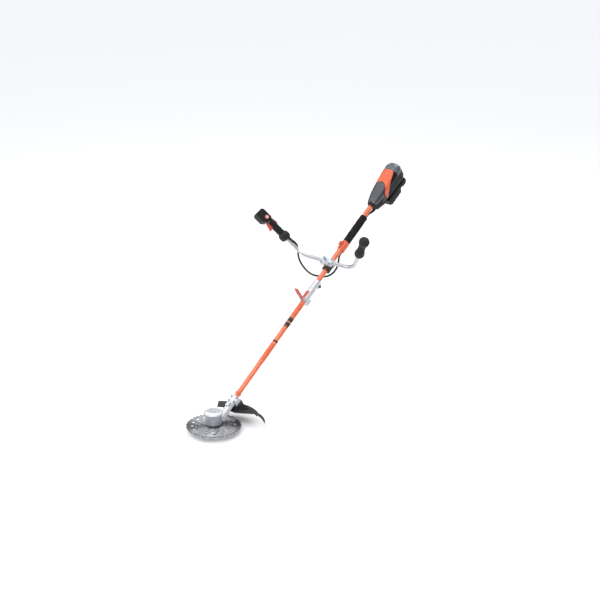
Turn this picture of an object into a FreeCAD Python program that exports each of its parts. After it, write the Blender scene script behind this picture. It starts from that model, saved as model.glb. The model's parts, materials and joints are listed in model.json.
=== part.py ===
import FreeCAD, Part
import math
import os
from FreeCAD import Placement, Rotation, Vector

# Battery brush cutter, in millimetres.
# World frame: +Z up along the blade axis, origin on the blade axis at the flat foot of the stabiliser cup.
# The shaft rises towards +Y, where the operator stands. +X is the operator's left.
# Pieces on the shaft are drawn in the shaft's own frame: x across, height above the tube's axis, and
# station, the distance along the axis from the point where it meets the blade axis.

os.makedirs("parts", exist_ok=True)

# ---- driving dimensions --------------------------------------------------------------------------
SHAFT_ANGLE = 34.0          # tube above the horizontal, degrees
AXIS_RISE = 15.0            # where the tube's axis meets the blade axis
SLIDE_GAP = 0.05            # radial clearance of running and sliding fits
SEAM_GAP = 0.4              # half the gap between the two halves of a clamp

BLADE_RADIUS = 127.5
BLADE_PLATE = 1.8
BLADE_MIDDLE = 30.0         # height of the blade's middle plane
BLADE_BORE = 12.7
BLADE_TEETH = 40
HOLE_SECTORS = 16

CAN_RADIUS = 37.5
LID_RADIUS = 43.0
CAN_BOTTOM = 40.0
CAN_TOP = 104.0
LID_SEAM = 90.0
CAN_WALL = 3.0
SPINDLE_RADIUS = 6.0
THREAD_RADIUS = 5.0
BEARING_RADIUS = 14.0
BEARING_WIDTH = 8.0

TUBE_RADIUS = 12.0
TUBE_BORE = 10.5
NECK_START = 46.0
NECK_END = 148.0
NECK_RADIUS = 16.5
TUBE_START = 90.0
GUARD_CLAMP_AT = 166.0
TUBE_SPLIT = 828.0          # station where the lower and upper tubes meet
UPPER_TUBE_END = 1440.0

COUPLING_START = 761.0
COUPLING_END = 889.0
COUPLING_RADIUS = 17.0
LEVER_PIVOT_HEIGHT = 23.0
LEVER_PIVOT_AT = 765.0
LEVER_LENGTH = 74.0
LEVER_PIN = 2.5
LEVER_EYE = 4.8
LOCK_AT = COUPLING_START + 18      # the lock button
CLAMP_BOLT_AT = COUPLING_END - 12
CLAMP_BOLT_HEIGHT = -21.5

HANDLE_AT = 993.0
HANDLE_HEIGHT = 26.0        # handlebar axis above the tube's axis
HANDLE_LEAN = 10.0          # handlebar plane, leaning back from square to the shaft, degrees
BAR_RADIUS = 9.5
BAR_BORE = 8.0
BAR_BEND = 95.0
RIGHT_CORNER = -151.0       # where the bar's two bends would be sharp
LEFT_CORNER = 156.0
RIGHT_ANGLE = 131.4         # direction of each rising arm in the handlebar's plane, degrees from +X
LEFT_ANGLE = 57.9
RIGHT_ARM = 126.0           # from the corner to the foot of the control grip
LEFT_ARM = 139.0            # from the corner to the middle of the left grip's lower ball

COLLAR_START = 1091.0
COLLAR_END = 1141.0
EYE_AT = 1112.0
EYE_HEIGHT = 26.0
EYE_RADIUS = 5.0
EYE_PLATE = 8.0
FOAM_END = 1310.0
SCREW_X = 16.0              # the collar's screws, from the tube's axis
COLLAR_RADIUS = 19.0
COLLAR_CENTRE = -5.0        # the collar and the foam sit low, because they also hold the cable
FOAM_RADIUS = 18.0
FOAM_CENTRE = -4.6
CABLE_RADIUS = 4.5
CABLE_HEIGHT = -16.8        # cable's axis where it lies along the tube

HOUSING_START = 1378.0
HOUSING_END = 1622.0
BAY_START = 1450.0
BAY_CEILING = -28.0
SKIN = 2.5                  # thickness of the covers, and of the shell under them

# ---- frames --------------------------------------------------------------------------------------
SHAFT = Placement(Vector(0, 0, AXIS_RISE), Rotation(Vector(1, 0, 0), SHAFT_ANGLE - 90))
Z = Vector(0, 0, 1)
X = Vector(1, 0, 0)


def at(x, height, station):
    """A point in the shaft's frame."""
    return Vector(x, -height, station)


def block(x0, x1, low, high, start, end):
    """A box in the shaft's frame, between two heights and two stations."""
    return Part.makeBox(x1 - x0, high - low, end - start, Vector(x0, -high, start))


def rod(radius, start, end, x=0.0, height=0.0):
    """A round bar along the shaft."""
    return Part.makeCylinder(radius, end - start, at(x, height, start), Z)


def pipe(outer, inner, start, end):
    return rod(outer, start, end).cut(rod(inner, start, end))


def cross_pin(radius, x0, x1, height, station):
    """A round bar across the shaft."""
    return Part.makeCylinder(radius, x1 - x0, at(x0, height, station), X)


def upright(radius, low, high, x, station):
    """A round bar square to the shaft, standing up from it."""
    return Part.makeCylinder(radius, high - low, at(x, low, station), Vector(0, -1, 0))


def prism(points, x0, x1):
    """An outline of (station, height) points, carried from x0 to x1."""
    corners = [at(x0, height, station) for station, height in points]
    face = Part.Face(Part.makePolygon(corners + corners[:1]))
    return face.extrude(Vector(x1 - x0, 0, 0))


def disc(radius, low, high):
    """A round plate on the blade axis."""
    return Part.makeCylinder(radius, high - low, Vector(0, 0, low))


def turned(profile, place=None):
    """A closed outline of (radius, height) points, turned round the Z axis."""
    points = [Vector(r, 0, z) for r, z in profile]
    solid = Part.Face(Part.makePolygon(points + points[:1])).revolve(Vector(), Z, 360)
    if place:
        solid.Placement = place
    return solid


def around(shape, count, axis_point=Vector(), axis=Z):
    """Copies of a shape, spread evenly round an axis."""
    copies = []
    for step in range(count):
        copy = shape.copy()
        copy.rotate(axis_point, axis, 360.0 * step / count)
        copies.append(copy)
    return copies


def join(shapes):
    """One solid from shapes that overlap or share a face."""
    return shapes[0].multiFuse(shapes[1:]).removeSplitter()


def rounded(shape, radius, keep):
    """Rounds the edges whose centre of mass passes the test keep."""
    edges = [edge for edge in shape.Edges if keep(edge.CenterOfMass)]
    return shape.makeFillet(radius, edges)


def put(node, shapes, place=None):
    """Writes one node as a STEP file, moved from the frame it was drawn in, and prints its volume."""
    solids = []
    for shape in shapes:
        copy = shape.copy()
        if place:
            copy.Placement = place.multiply(copy.Placement)
        solids.extend(copy.Solids)
    result = solids[0] if len(solids) == 1 else Part.makeCompound(solids)
    bad = [number for number, solid in enumerate(solids) if not solid.isValid()]
    print(f"{node}: {len(solids)} solids, {result.Volume / 1000:.1f} cm3", "NOT VALID" if bad else "")
    result.exportStep(f"parts/{node}.step")
    return result


# ---- cutting head --------------------------------------------------------------------------------
def motor_can():
    bearing_floor = 6.0
    shell = disc(CAN_RADIUS, CAN_BOTTOM, LID_SEAM)
    shell = rounded(shell, 3.0, lambda c: c.z < CAN_BOTTOM + 1)
    inside = disc(CAN_RADIUS - CAN_WALL, CAN_BOTTOM + bearing_floor, LID_SEAM)
    seat = disc(BEARING_RADIUS, CAN_BOTTOM + 2.5, CAN_BOTTOM + 2.5 + BEARING_WIDTH)
    boss = disc(BEARING_RADIUS + 3, CAN_BOTTOM + bearing_floor, CAN_BOTTOM + 2.5 + BEARING_WIDTH)
    passage = disc(SPINDLE_RADIUS + 1.5, CAN_BOTTOM, CAN_BOTTOM + 3)
    body = shell.cut(inside).fuse(boss).cut(seat).cut(passage)
    put("motor_can", [body])


def motor_lid():
    roof = 3.0
    outer = turned([
        (0, LID_SEAM), (LID_RADIUS - 1, LID_SEAM), (LID_RADIUS, LID_SEAM + 1), (LID_RADIUS, LID_SEAM + 5),
        (LID_RADIUS - 1.5, LID_SEAM + 7), (LID_RADIUS - 11, CAN_TOP - 0.8), (LID_RADIUS - 14, CAN_TOP),
        (0, CAN_TOP)])
    inside = disc(CAN_RADIUS - CAN_WALL, LID_SEAM, CAN_TOP - 8)
    boss = disc(BEARING_RADIUS + 3, LID_SEAM, CAN_TOP - roof)
    seat = disc(BEARING_RADIUS, LID_SEAM, LID_SEAM + BEARING_WIDTH)
    put("motor_lid", [outer.cut(inside.cut(boss)).cut(seat)])


def motor_inside():
    low = CAN_BOTTOM + 14
    high = LID_SEAM - 6
    teeth = 12
    ring = disc(CAN_RADIUS - CAN_WALL, low, high).cut(disc(31, low, high))
    tooth = Part.makeBox(9, 5, high - low, Vector(23.5, -2.5, low))
    core = join([ring] + around(tooth, teeth))
    coil = Part.makeBox(5.5, 9, high - low + 4, Vector(25, -4.5, low - 2))
    slot = Part.makeBox(5.5, 5.3, high - low + 4, Vector(25, -2.65, low - 2))
    put("motor_stator", [core] + around(coil.cut(slot), teeth))
    lower_ring = disc(BEARING_RADIUS, CAN_BOTTOM + 2.5, CAN_BOTTOM + 2.5 + BEARING_WIDTH)
    upper_ring = disc(BEARING_RADIUS, LID_SEAM, LID_SEAM + BEARING_WIDTH)
    hole = disc(SPINDLE_RADIUS + SLIDE_GAP, CAN_BOTTOM, CAN_TOP)
    put("motor_bearings", [lower_ring.cut(hole), upper_ring.cut(hole)])
    magnet_ring = disc(22.5, low, high).cut(disc(SPINDLE_RADIUS, low, high))
    put("rotor_magnets", [magnet_ring])


def spindle():
    journal = disc(SPINDLE_RADIUS, BLADE_MIDDLE + 4, LID_SEAM + BEARING_WIDTH - 0.5)
    thread = disc(THREAD_RADIUS, 2.5, BLADE_MIDDLE + 4)
    put("output_shaft", [join([journal, thread])])


def blade_holders():
    blade_top = BLADE_MIDDLE + BLADE_PLATE / 2
    blade_foot = BLADE_MIDDLE - BLADE_PLATE / 2
    spigot = BLADE_BORE - SLIDE_GAP
    upper = turned([
        (THREAD_RADIUS, blade_foot + 0.1), (spigot, blade_foot + 0.1), (spigot, blade_top), (28, blade_top),
        (28, blade_top + 2.5), (20, blade_top + 6), (SPINDLE_RADIUS, blade_top + 6),
        (SPINDLE_RADIUS, BLADE_MIDDLE + 4), (THREAD_RADIUS, BLADE_MIDDLE + 4)])
    lower = turned([(THREAD_RADIUS, blade_foot), (24, blade_foot), (26, blade_foot - 2), (26, blade_foot - 4),
                    (THREAD_RADIUS, blade_foot - 4)])
    put("blade_holders", [upper, lower])


def saw_blade():
    foot = BLADE_MIDDLE - BLADE_PLATE / 2
    step = 2 * math.pi / BLADE_TEETH
    root = BLADE_RADIUS - 7.0
    outline = []
    for tooth in range(BLADE_TEETH):
        start = tooth * step
        for radius, share in ((BLADE_RADIUS - 1.5, 0.0), (root, 0.10), (root + 0.6, 0.42),
                              (BLADE_RADIUS - 2.2, 0.90)):
            angle = start + share * step
            outline.append(Vector(radius * math.cos(angle), radius * math.sin(angle), foot))
    plate = Part.Face(Part.makePolygon(outline + outline[:1])).extrude(Vector(0, 0, BLADE_PLATE))
    holes = [disc(BLADE_BORE, foot - 1, foot + 3)]
    sector = 360.0 / HOLE_SECTORS
    # each sector has a curved row of holes that shrink towards the hub
    rows = ((97.0, 7.6, 0.0), (80.5, 5.9, 7.5), (67.5, 4.9, 14.5), (56.5, 4.0, 21.0), (47.0, 3.2, 27.0))
    for radius, size, turn in rows:
        hole = Part.makeCylinder(size, 5, Vector(radius, 0, foot - 1))
        hole.rotate(Vector(), Z, turn)
        holes += around(hole, HOLE_SECTORS)
    # expansion slots between the sectors
    slot = Part.makeBox(13, 1.6, 5, Vector(108, -0.8, foot - 1))
    slot.rotate(Vector(), Z, sector / 2)
    holes += around(slot, HOLE_SECTORS // 2)
    plate = plate.cut(Part.makeCompound(holes))
    put("saw_blade", [plate])
    tip = Part.makeBox(5.0, 1.9, BLADE_PLATE + 0.6, Vector(BLADE_RADIUS - 5.0, 0, foot - 0.3))
    tip.rotate(Vector(), Z, -0.05)
    seat = tip.common(plate)
    put("carbide_tips", around(tip.cut(seat), BLADE_TEETH))


def stabiliser_cup():
    top = BLADE_MIDDLE - BLADE_PLATE / 2 - 4
    cup = turned([(15, 0), (38, 0), (44, 2.5), (48, 8), (49, 14), (46.5, 14), (45.5, 9), (42, 5), (37, 3.5),
                  (22, 3.5), (19, 8), (18, top), (THREAD_RADIUS, top), (THREAD_RADIUS, 13), (15, 13)])
    put("stabiliser_cup", [cup])
    flats = 17.0
    corners = []
    for side in range(6):
        angle = math.radians(60 * side)
        reach = flats / math.sqrt(3)
        corners.append(Vector(reach * math.cos(angle), reach * math.sin(angle), 4))
    nut = Part.Face(Part.makePolygon(corners + corners[:1])).extrude(Vector(0, 0, 9))
    put("blade_nut", [nut.cut(disc(THREAD_RADIUS, 0, 20))])


def neck_casting():
    barrel = rod(NECK_RADIUS, NECK_START, NECK_END)
    flare = Part.makeCone(25, NECK_RADIUS, 44, at(0, 0, NECK_START), Z)
    ribs = block(-3, 3, -22, 24, NECK_START, NECK_START + 62)
    rib_end = NECK_START + 62
    slope = block(-5, 5, 17, 24.5, NECK_START + 30, rib_end)
    under = block(-5, 5, -24.5, -17, NECK_START + 30, rib_end)
    ears = block(-9, 9, 10, 20.5, 119, 141)
    neck = join([barrel, flare, ribs.cut(slope).cut(under), ears])
    neck = neck.cut(rod(TUBE_RADIUS, TUBE_START, NECK_END)).cut(rod(6, 0, TUBE_START))
    neck = neck.cut(block(-1.0, 1.0, 10, 22, 112, NECK_END))
    for station in (124, 136):
        neck = neck.cut(cross_pin(2.0, -20, 20, 17.0, station))
    neck.Placement = SHAFT
    plane_cut = Part.makeBox(200, 200, 60, Vector(-100, -100, CAN_BOTTOM + 1 - 60))
    neck = neck.cut(disc(CAN_RADIUS, 0, 200)).cut(disc(LID_RADIUS, LID_SEAM, 200)).cut(plane_cut)
    put("neck_casting", [max(neck.Solids, key=lambda s: s.Volume)])
    screws = []
    for station in (124, 136):
        screw = join([cross_pin(2.0, -8.5, 9.5, 17.0, station), cross_pin(3.2, 9, 12, 17.0, station)])
        screws.append(screw.cut(cross_pin(1.5, 10.5, 13, 17.0, station)))
    return screws


# ---- guard ---------------------------------------------------------------------------------------
GUARD_TOP = 63.0            # upper face of the flat part of the guard
GUARD_WALL = 3.0
RIM_LEFT = Vector(-114, 156, 0)
RIM_MIDDLE = Vector(0, 206, 0)
RIM_RIGHT = Vector(113, 177, 0)


def guard_outline():
    """The guard seen from above: a round rim, a straight front edge and a horn on the operator's left."""
    rim = Part.Arc(RIM_LEFT, RIM_MIDDLE, RIM_RIGHT).toShape()
    horn_outer = Part.Arc(RIM_RIGHT, Vector(143, 174, 0), Vector(168, 162, 0)).toShape()
    horn_end = Part.makeLine(Vector(168, 162, 0), Vector(176, 149, 0))
    horn_inner = Part.Arc(Vector(176, 149, 0), Vector(147, 158, 0), Vector(108, 160, 0)).toShape()
    front = Part.makePolygon([Vector(108, 160, 0), Vector(30, 112, 0), Vector(18, 112, 0), Vector(-18, 112, 0),
                              Vector(-30, 120, 0), Vector(-47, 126, 0), Vector(-77, 109, 0), RIM_LEFT])
    edges = [rim, horn_outer, horn_end, horn_inner] + front.Edges
    return Part.Face(Part.Wire(Part.__sortEdges__(edges)))


def guard():
    plan = guard_outline()
    tall = plan.extrude(Vector(0, 0, 200))
    droop_start = 96.0
    droop_radius = 150.0
    flat = Part.makeBox(droop_start + 130, 130, GUARD_WALL, Vector(-130, 90, GUARD_TOP - GUARD_WALL))
    centre = Vector(droop_start, 90, GUARD_TOP - droop_radius)
    bend = Part.makeCylinder(droop_radius, 130, centre, Vector(0, 1, 0)).cut(
        Part.makeCylinder(droop_radius - GUARD_WALL, 130, centre, Vector(0, 1, 0)))
    bend = bend.common(Part.makeBox(100, 130, 80, Vector(droop_start, 90, GUARD_TOP - 79)))
    plate = flat.fuse(bend).common(tall).removeSplitter()
    circle = Part.Arc(RIM_LEFT, RIM_MIDDLE, RIM_RIGHT).toShape().Curve
    reach = circle.Radius
    hub = Vector(circle.Center.x, circle.Center.y, GUARD_TOP - 24)
    wall = Part.makeCylinder(reach, 24, hub).cut(Part.makeCylinder(reach - GUARD_WALL, 24, hub))
    skirt = wall.common(Part.makeBox(210, 130, 60, Vector(-108, 100, 0)))
    rise = []
    for x0 in (-21.0, 17.0):
        side_view = ((116, GUARD_TOP - 1), (190, GUARD_TOP - 1), (166, 105), (128, 79))
        corners = [Vector(x0, y, z) for y, z in side_view]
        rise.append(Part.Face(Part.makePolygon(corners + corners[:1])).extrude(Vector(4, 0, 0)))
    pad = block(-23, 23, -24, -19.3, GUARD_CLAMP_AT - 20, GUARD_CLAMP_AT + 20)
    pad.Placement = SHAFT
    side_view = ((187, GUARD_TOP - 1), (190, GUARD_TOP - 1), (167, 104), (164, 102))
    corners = [Vector(-21, y, z) for y, z in side_view]
    back = Part.Face(Part.makePolygon(corners + corners[:1])).extrude(Vector(42, 0, 0))
    web = []
    for angle in (-24, 26, 44):
        rib = Part.makeBox(2.5, 78, 9, Vector(-1.25, 20, GUARD_TOP - 0.5))
        rib.rotate(Vector(0, 20, 0), Z, -angle)
        rib.translate(Vector(0, 100, 0))
        web.append(rib.common(plan.extrude(Vector(0, 0, 90))))
    whole = join([plate, skirt, pad, back] + rise + [rib for rib in web if rib.Volume > 10])
    above_pad = block(-30, 30, -19.2, 60, 120, 240).fuse(rod(19.2, 0, 300))
    above_pad.Placement = SHAFT
    whole = whole.cut(above_pad)
    for x in (-15, 15):
        for station in (GUARD_CLAMP_AT - 11, GUARD_CLAMP_AT + 11):
            hole = upright(2.6, -40, 0, x, station)
            hole.Placement = SHAFT.multiply(hole.Placement)
            whole = whole.cut(hole)
    put("guard", [max(whole.Solids, key=lambda s: s.Volume)])


def guard_clamp():
    half = 21.0
    start = GUARD_CLAMP_AT - 16.5
    end = GUARD_CLAMP_AT + 16.5
    hole = rod(TUBE_RADIUS, start - 1, end + 1)
    base = block(-half, half, -19, -SEAM_GAP, start, end).cut(hole)
    crown = rod(TUBE_RADIUS + 4, start, end).common(block(-half, half, SEAM_GAP, 30, start, end))
    cap = block(-half, half, SEAM_GAP, 8, start, end).fuse(crown).cut(hole).removeSplitter()
    bolts = []
    for x in (-15, 15):
        for station in (GUARD_CLAMP_AT - 11, GUARD_CLAMP_AT + 11):
            shank = upright(2.5, -23.5, 8, x, station)
            base = base.cut(upright(2.5, -30, 30, x, station))
            cap = cap.cut(upright(2.5, -30, 30, x, station))
            cap = cap.cut(upright(4.6, 8, 30, x, station))
            head = upright(4.4, 8, 12.5, x, station).cut(upright(2.2, 10, 13, x, station))
            bolts.append(join([shank, head]))
    put("guard_clamp_base", [base], SHAFT)
    put("guard_clamp_cap", [cap], SHAFT)
    return bolts


# ---- lower tube ----------------------------------------------------------------------------------
def lower_tube():
    put("lower_tube", [pipe(TUBE_RADIUS, TUBE_BORE, TUBE_START, TUBE_SPLIT - 3)], SHAFT)
    wrap = TUBE_RADIUS + 0.6
    guard_stop = join([pipe(14.5, TUBE_RADIUS, 202, 203.8), block(-4, 4, 12.5, 21, 202, 203.8)])
    long_sleeve = pipe(wrap, TUBE_RADIUS, 390, 509)
    short_sleeve = pipe(wrap, TUBE_RADIUS, 659.3, 750)
    put("orange_sleeves", [guard_stop, long_sleeve, short_sleeve], SHAFT)
    put("dark_sleeves", [pipe(wrap, TUBE_RADIUS, 509.3, 518), pipe(wrap, TUBE_RADIUS, 604, 659)], SHAFT)
    plug_start = 795
    plug_end = TUBE_SPLIT - 4
    put("motor_cable", [rod(4.5, 58, plug_start)], SHAFT)
    pins = [rod(1.6, plug_end - 1, plug_end + 12, 5 * math.cos(a), 5 * math.sin(a))
            for a in (0, 2 * math.pi / 3, 4 * math.pi / 3)]
    put("lower_plug", [join([rod(TUBE_BORE, plug_start, plug_end)] + pins)], SHAFT)


# ---- coupling ------------------------------------------------------------------------------------
def coupling():
    shell = rod(COUPLING_RADIUS, COUPLING_START, COUPLING_END)
    bell = Part.makeCone(19.5, COUPLING_RADIUS, 34, at(0, 0, COUPLING_START), Z)
    lock_lug = rounded(block(-11, 11, -34, -8, COUPLING_START + 1, COUPLING_START + 34), 4,
                       lambda c: c.y > 30)
    clamp_lug = block(-9, 9, -27, -10, COUPLING_END - 24, COUPLING_END)
    ears = [prism([(COUPLING_START, 8), (COUPLING_START + 16, 8), (COUPLING_START + 10, LEVER_PIVOT_HEIGHT + 5),
                   (COUPLING_START, LEVER_PIVOT_HEIGHT + 5)], x0, x0 + 4) for x0 in (-13.5, 9.5)]
    body = join([shell, bell, lock_lug, clamp_lug] + ears)
    body = body.cut(rod(TUBE_RADIUS + SLIDE_GAP, COUPLING_START, TUBE_SPLIT - 2.8))
    body = body.cut(rod(TUBE_RADIUS, TUBE_SPLIT + 2.8, COUPLING_END))
    body = body.cut(rod(TUBE_BORE, COUPLING_START, COUPLING_END))
    body = body.cut(block(-9.4, 9.4, 17.6, 40, COUPLING_START - 1, COUPLING_START + 11.6))
    body = body.cut(block(-1, 1, 11, 30, COUPLING_START - 1, COUPLING_START + 11))
    body = body.cut(block(-1, 1, -40, -11, COUPLING_END - 26, COUPLING_END + 1))
    body = body.cut(cross_pin(LEVER_PIN, -20, 20, LEVER_PIVOT_HEIGHT, LEVER_PIVOT_AT))
    body = body.cut(cross_pin(LEVER_PIN, -20, 20, CLAMP_BOLT_HEIGHT, CLAMP_BOLT_AT))
    body = body.cut(upright(6.05, -40, -15, 0, LOCK_AT))
    body = body.cut(upright(3.05, -16, -10, 0, LOCK_AT))
    put("coupling_body", [body], SHAFT)
    rest = prism([(COUPLING_START + 13, 10), (COUPLING_START + 54, 10), (COUPLING_START + 54, 18.8),
                  (COUPLING_START + 50, 20.4), (COUPLING_START + 13, 20.4)], -7, 7)
    bare = rod(COUPLING_RADIUS, COUPLING_START, COUPLING_END).fuse(bell)
    put("lever_rest", [rest.cut(bare)], SHAFT)
    pin = cross_pin(LEVER_PIN, -14.5, 14.5, LEVER_PIVOT_HEIGHT, LEVER_PIVOT_AT)
    bolt = join([cross_pin(radius, x0, x1, CLAMP_BOLT_HEIGHT, CLAMP_BOLT_AT)
                 for radius, x0, x1 in ((LEVER_PIN, -12, 9), (6.0, 9, 15), (4.5, -12.5, -9))])
    put("coupling_hardware", [pin, bolt], SHAFT)
    button = join([upright(6.0, -38, -24, 0, LOCK_AT), upright(3.0, -24.5, -12.6, 0, LOCK_AT)])
    put("lock_button", [button], SHAFT)
    spring = upright(5.6, -23.5, -16.5, 0, LOCK_AT).cut(upright(4.4, -24, -16, 0, LOCK_AT))
    put("lock_spring", [spring], SHAFT)


def coupling_lever():
    eye = cross_pin(LEVER_EYE, -9, 9, LEVER_PIVOT_HEIGHT, LEVER_PIVOT_AT)
    tip = LEVER_PIVOT_HEIGHT + LEVER_LENGTH
    outline = [(-LEVER_EYE, LEVER_PIVOT_HEIGHT), (1.6, LEVER_PIVOT_HEIGHT), (1.0, tip - 3), (-1.0, tip),
               (-5.5, tip), (-7.0, tip - 30)]
    blade = prism([(LEVER_PIVOT_AT + along, height) for along, height in outline], -8.6, 8.6)
    hole = cross_pin(LEVER_PIN + SLIDE_GAP, -12, 12, LEVER_PIVOT_HEIGHT, LEVER_PIVOT_AT)
    put("coupling_lever", [join([eye, blade]).cut(hole)], SHAFT)


# ---- upper tube and handle bracket ---------------------------------------------------------------
def upper_tube():
    start = TUBE_SPLIT + 3
    put("upper_tube", [pipe(TUBE_RADIUS, TUBE_BORE, start, UPPER_TUBE_END)], SHAFT)
    socket = rod(TUBE_BORE, TUBE_SPLIT - 3, start + 30)
    for a in (0, 2 * math.pi / 3, 4 * math.pi / 3):
        socket = socket.cut(rod(1.75, TUBE_SPLIT - 4, TUBE_SPLIT + 16, 5 * math.cos(a), 5 * math.sin(a)))
    return socket


def handle_bracket():
    start = HANDLE_AT - 18
    end = HANDLE_AT + 18
    grip_hole = cross_pin(BAR_RADIUS + SLIDE_GAP, -60, 60, HANDLE_HEIGHT, HANDLE_AT)
    tube_hole = rod(TUBE_RADIUS, start - 40, end + 40)
    damper = block(-15.5, 15.5, -18, 16, start - 18, end - 14)
    damper = rounded(damper, 5, lambda c: abs(c.x) > 15.4 and abs(c.y) > 15)
    put("handle_damper", [damper.cut(tube_hole)], SHAFT)
    base = join([block(-31, 31, 16.2, HANDLE_HEIGHT - SEAM_GAP, start, end),
                 block(-17, 17, -19, 17, end - 13.5, end)])
    base = base.cut(tube_hole).cut(grip_hole)
    cap_high = HANDLE_HEIGHT + 12
    cap = block(-31, 31, HANDLE_HEIGHT + SEAM_GAP, cap_high, start, end)
    cap = rounded(cap, 5, lambda c: -c.y > cap_high - 0.1 and abs(c.x) < 1).cut(grip_hole)
    bolts = []
    for x in (-24, 24):
        for station in (start + 5, end - 5):
            base = base.cut(upright(2.5, 0, 60, x, station))
            cap = cap.cut(upright(2.5, 0, 60, x, station))
            cap = cap.cut(upright(5.2, cap_high - 5, 60, x, station))
            bolts.append(join([upright(2.5, 17, cap_high - 5, x, station),
                               upright(5.0, cap_high - 5, cap_high + 1.5, x, station).cut(
                                   upright(2.4, cap_high - 1, cap_high + 2, x, station))]))
    put("handle_bracket_base", [base], SHAFT)
    put("handle_bracket_cap", [cap], SHAFT)
    stud = join([upright(3.0, cap_high, cap_high + 10, -6, HANDLE_AT),
                 upright(6.5, cap_high + 9, cap_high + 18, -6, HANDLE_AT)])
    return bolts + [stud]


def harness_collar():
    barrel = rod(COLLAR_RADIUS, COLLAR_START, COLLAR_END, 0, COLLAR_CENTRE)
    barrel = barrel.cut(rod(TUBE_RADIUS, COLLAR_START, COLLAR_END))
    barrel = barrel.cut(rod(CABLE_RADIUS + 0.4, COLLAR_START, COLLAR_END, 0, CABLE_HEIGHT))
    lug = prism([(COLLAR_START + 5, 12), (COLLAR_END - 4, 12), (EYE_AT + 11, EYE_HEIGHT + 4),
                 (EYE_AT + 5, EYE_HEIGHT + 8.5), (EYE_AT - 5, EYE_HEIGHT + 8.5), (EYE_AT - 11, EYE_HEIGHT + 4)],
                -EYE_PLATE / 2, EYE_PLATE / 2)
    screw_places = [(x, station) for x in (-SCREW_X, SCREW_X)
                    for station in (COLLAR_START + 10, COLLAR_END - 10)]
    flanges = [upright(4.2, -6, 6, x, station) for x, station in screw_places]
    whole = join([barrel, lug.cut(rod(TUBE_RADIUS, COLLAR_START, COLLAR_END))] + flanges)
    whole = whole.cut(rod(TUBE_RADIUS, COLLAR_START, COLLAR_END))
    whole = whole.cut(cross_pin(EYE_RADIUS, -10, 10, EYE_HEIGHT, EYE_AT))
    screws = []
    for x, station in screw_places:
        whole = whole.cut(upright(1.5, -10, 10, x, station)).cut(upright(2.9, 3.5, 20, x, station))
        screws.append(join([upright(1.5, -5, 4, x, station), upright(2.7, 3.5, 5.8, x, station)]))
    above = block(-40, 40, SEAM_GAP, 60, COLLAR_START, COLLAR_END)
    below = block(-40, 40, -60, -SEAM_GAP, COLLAR_START, COLLAR_END)
    put("harness_collar_upper", [whole.common(above)], SHAFT)
    put("harness_collar_lower", [whole.common(below)], SHAFT)
    return screws


def foam_sleeve():
    foam = rod(FOAM_RADIUS, COLLAR_END + 0.5, FOAM_END, 0, FOAM_CENTRE)
    foam = foam.cut(rod(TUBE_RADIUS, COLLAR_END, FOAM_END))
    foam = foam.cut(rod(CABLE_RADIUS, COLLAR_END, FOAM_END, 0, CABLE_HEIGHT))
    put("foam_sleeve", [foam], SHAFT)


# ---- handlebar, drawn in its own plane: x across, y up the plane, z away from the operator ----------
def handle_frame():
    """x stays across the machine, y climbs in the handlebar's plane, z points away from the operator."""
    lean = math.radians(HANDLE_LEAN)
    angle = math.radians(SHAFT_ANGLE)
    up = Vector(0, -math.sin(angle), math.cos(angle))
    along = Vector(0, math.cos(angle), math.sin(angle))
    rise = up * math.cos(lean) + along * math.sin(lean)
    centre = SHAFT.multVec(at(0, HANDLE_HEIGHT, HANDLE_AT))
    return Placement(centre, Rotation(X, rise, X.cross(rise), "XYZ"))


HANDLE = handle_frame()


def in_plane(x, rho):
    return Vector(x, rho, 0)


def arm_point(corner, angle, distance):
    a = math.radians(angle)
    return in_plane(corner + distance * math.cos(a), distance * math.sin(a))


def bar_path(points, radius):
    """Straight runs joined by tangent arcs of one radius."""
    edges = []
    start = points[0]
    for number in range(1, len(points) - 1):
        corner = points[number]
        into = (corner - points[number - 1]).normalize()
        out = (points[number + 1] - corner).normalize()
        half = into.getAngle(out) / 2
        back = radius * math.tan(half)
        first = corner - into * back
        last = corner + out * back
        middle = corner + (out - into).normalize() * (radius / math.cos(half) - radius)
        edges.append(Part.makeLine(start, first))
        edges.append(Part.Arc(first, middle, last).toShape())
        start = last
    edges.append(Part.makeLine(start, points[-1]))
    return Part.Wire(edges)


def swept(path, radius):
    """A round bar along a path."""
    first = path.OrderedEdges[0]
    start = first.valueAt(first.FirstParameter)
    direction = first.tangentAt(first.FirstParameter)
    if first.Orientation == "Reversed":
        start = first.valueAt(first.LastParameter)
        direction = first.tangentAt(first.LastParameter) * -1
    ring = Part.Wire([Part.makeCircle(radius, start, direction)])
    return path.makePipeShell([ring], True, False)


def handlebar():
    right_end = arm_point(RIGHT_CORNER, RIGHT_ANGLE, RIGHT_ARM + 54)
    left_end = arm_point(LEFT_CORNER, LEFT_ANGLE, LEFT_ARM + 60)
    path = bar_path([right_end, in_plane(RIGHT_CORNER, 0), in_plane(LEFT_CORNER, 0), left_end], BAR_BEND)
    put("handlebar_tube", [swept(path, BAR_RADIUS).cut(swept(path, BAR_BORE))], HANDLE)


def grip_frame(corner, angle, distance):
    """z along a rising arm, x square to it on the inner side, y towards the operator."""
    a = math.radians(angle)
    along = Vector(math.cos(a), math.sin(a), 0)
    operator = Vector(0, 0, -1)
    inner = operator.cross(along)
    local = Placement(arm_point(corner, angle, distance), Rotation(inner, operator, along, "XYZ"))
    return HANDLE.multiply(local)


def left_grip():
    profile = [(BAR_RADIUS, -24), (14, -24), (19.5, -17), (23, -7), (23.5, 1), (21.5, 11), (18.2, 21),
               (16.8, 34), (16.4, 50), (17, 64), (19, 76), (22.8, 84), (24.5, 92), (24.5, 99), (22, 107),
               (16, 113), (8, 115.5), (0, 116), (0, 60), (BAR_RADIUS, 60)]
    put("left_grip", [turned(profile)], grip_frame(LEFT_CORNER, LEFT_ANGLE, LEFT_ARM))


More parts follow.
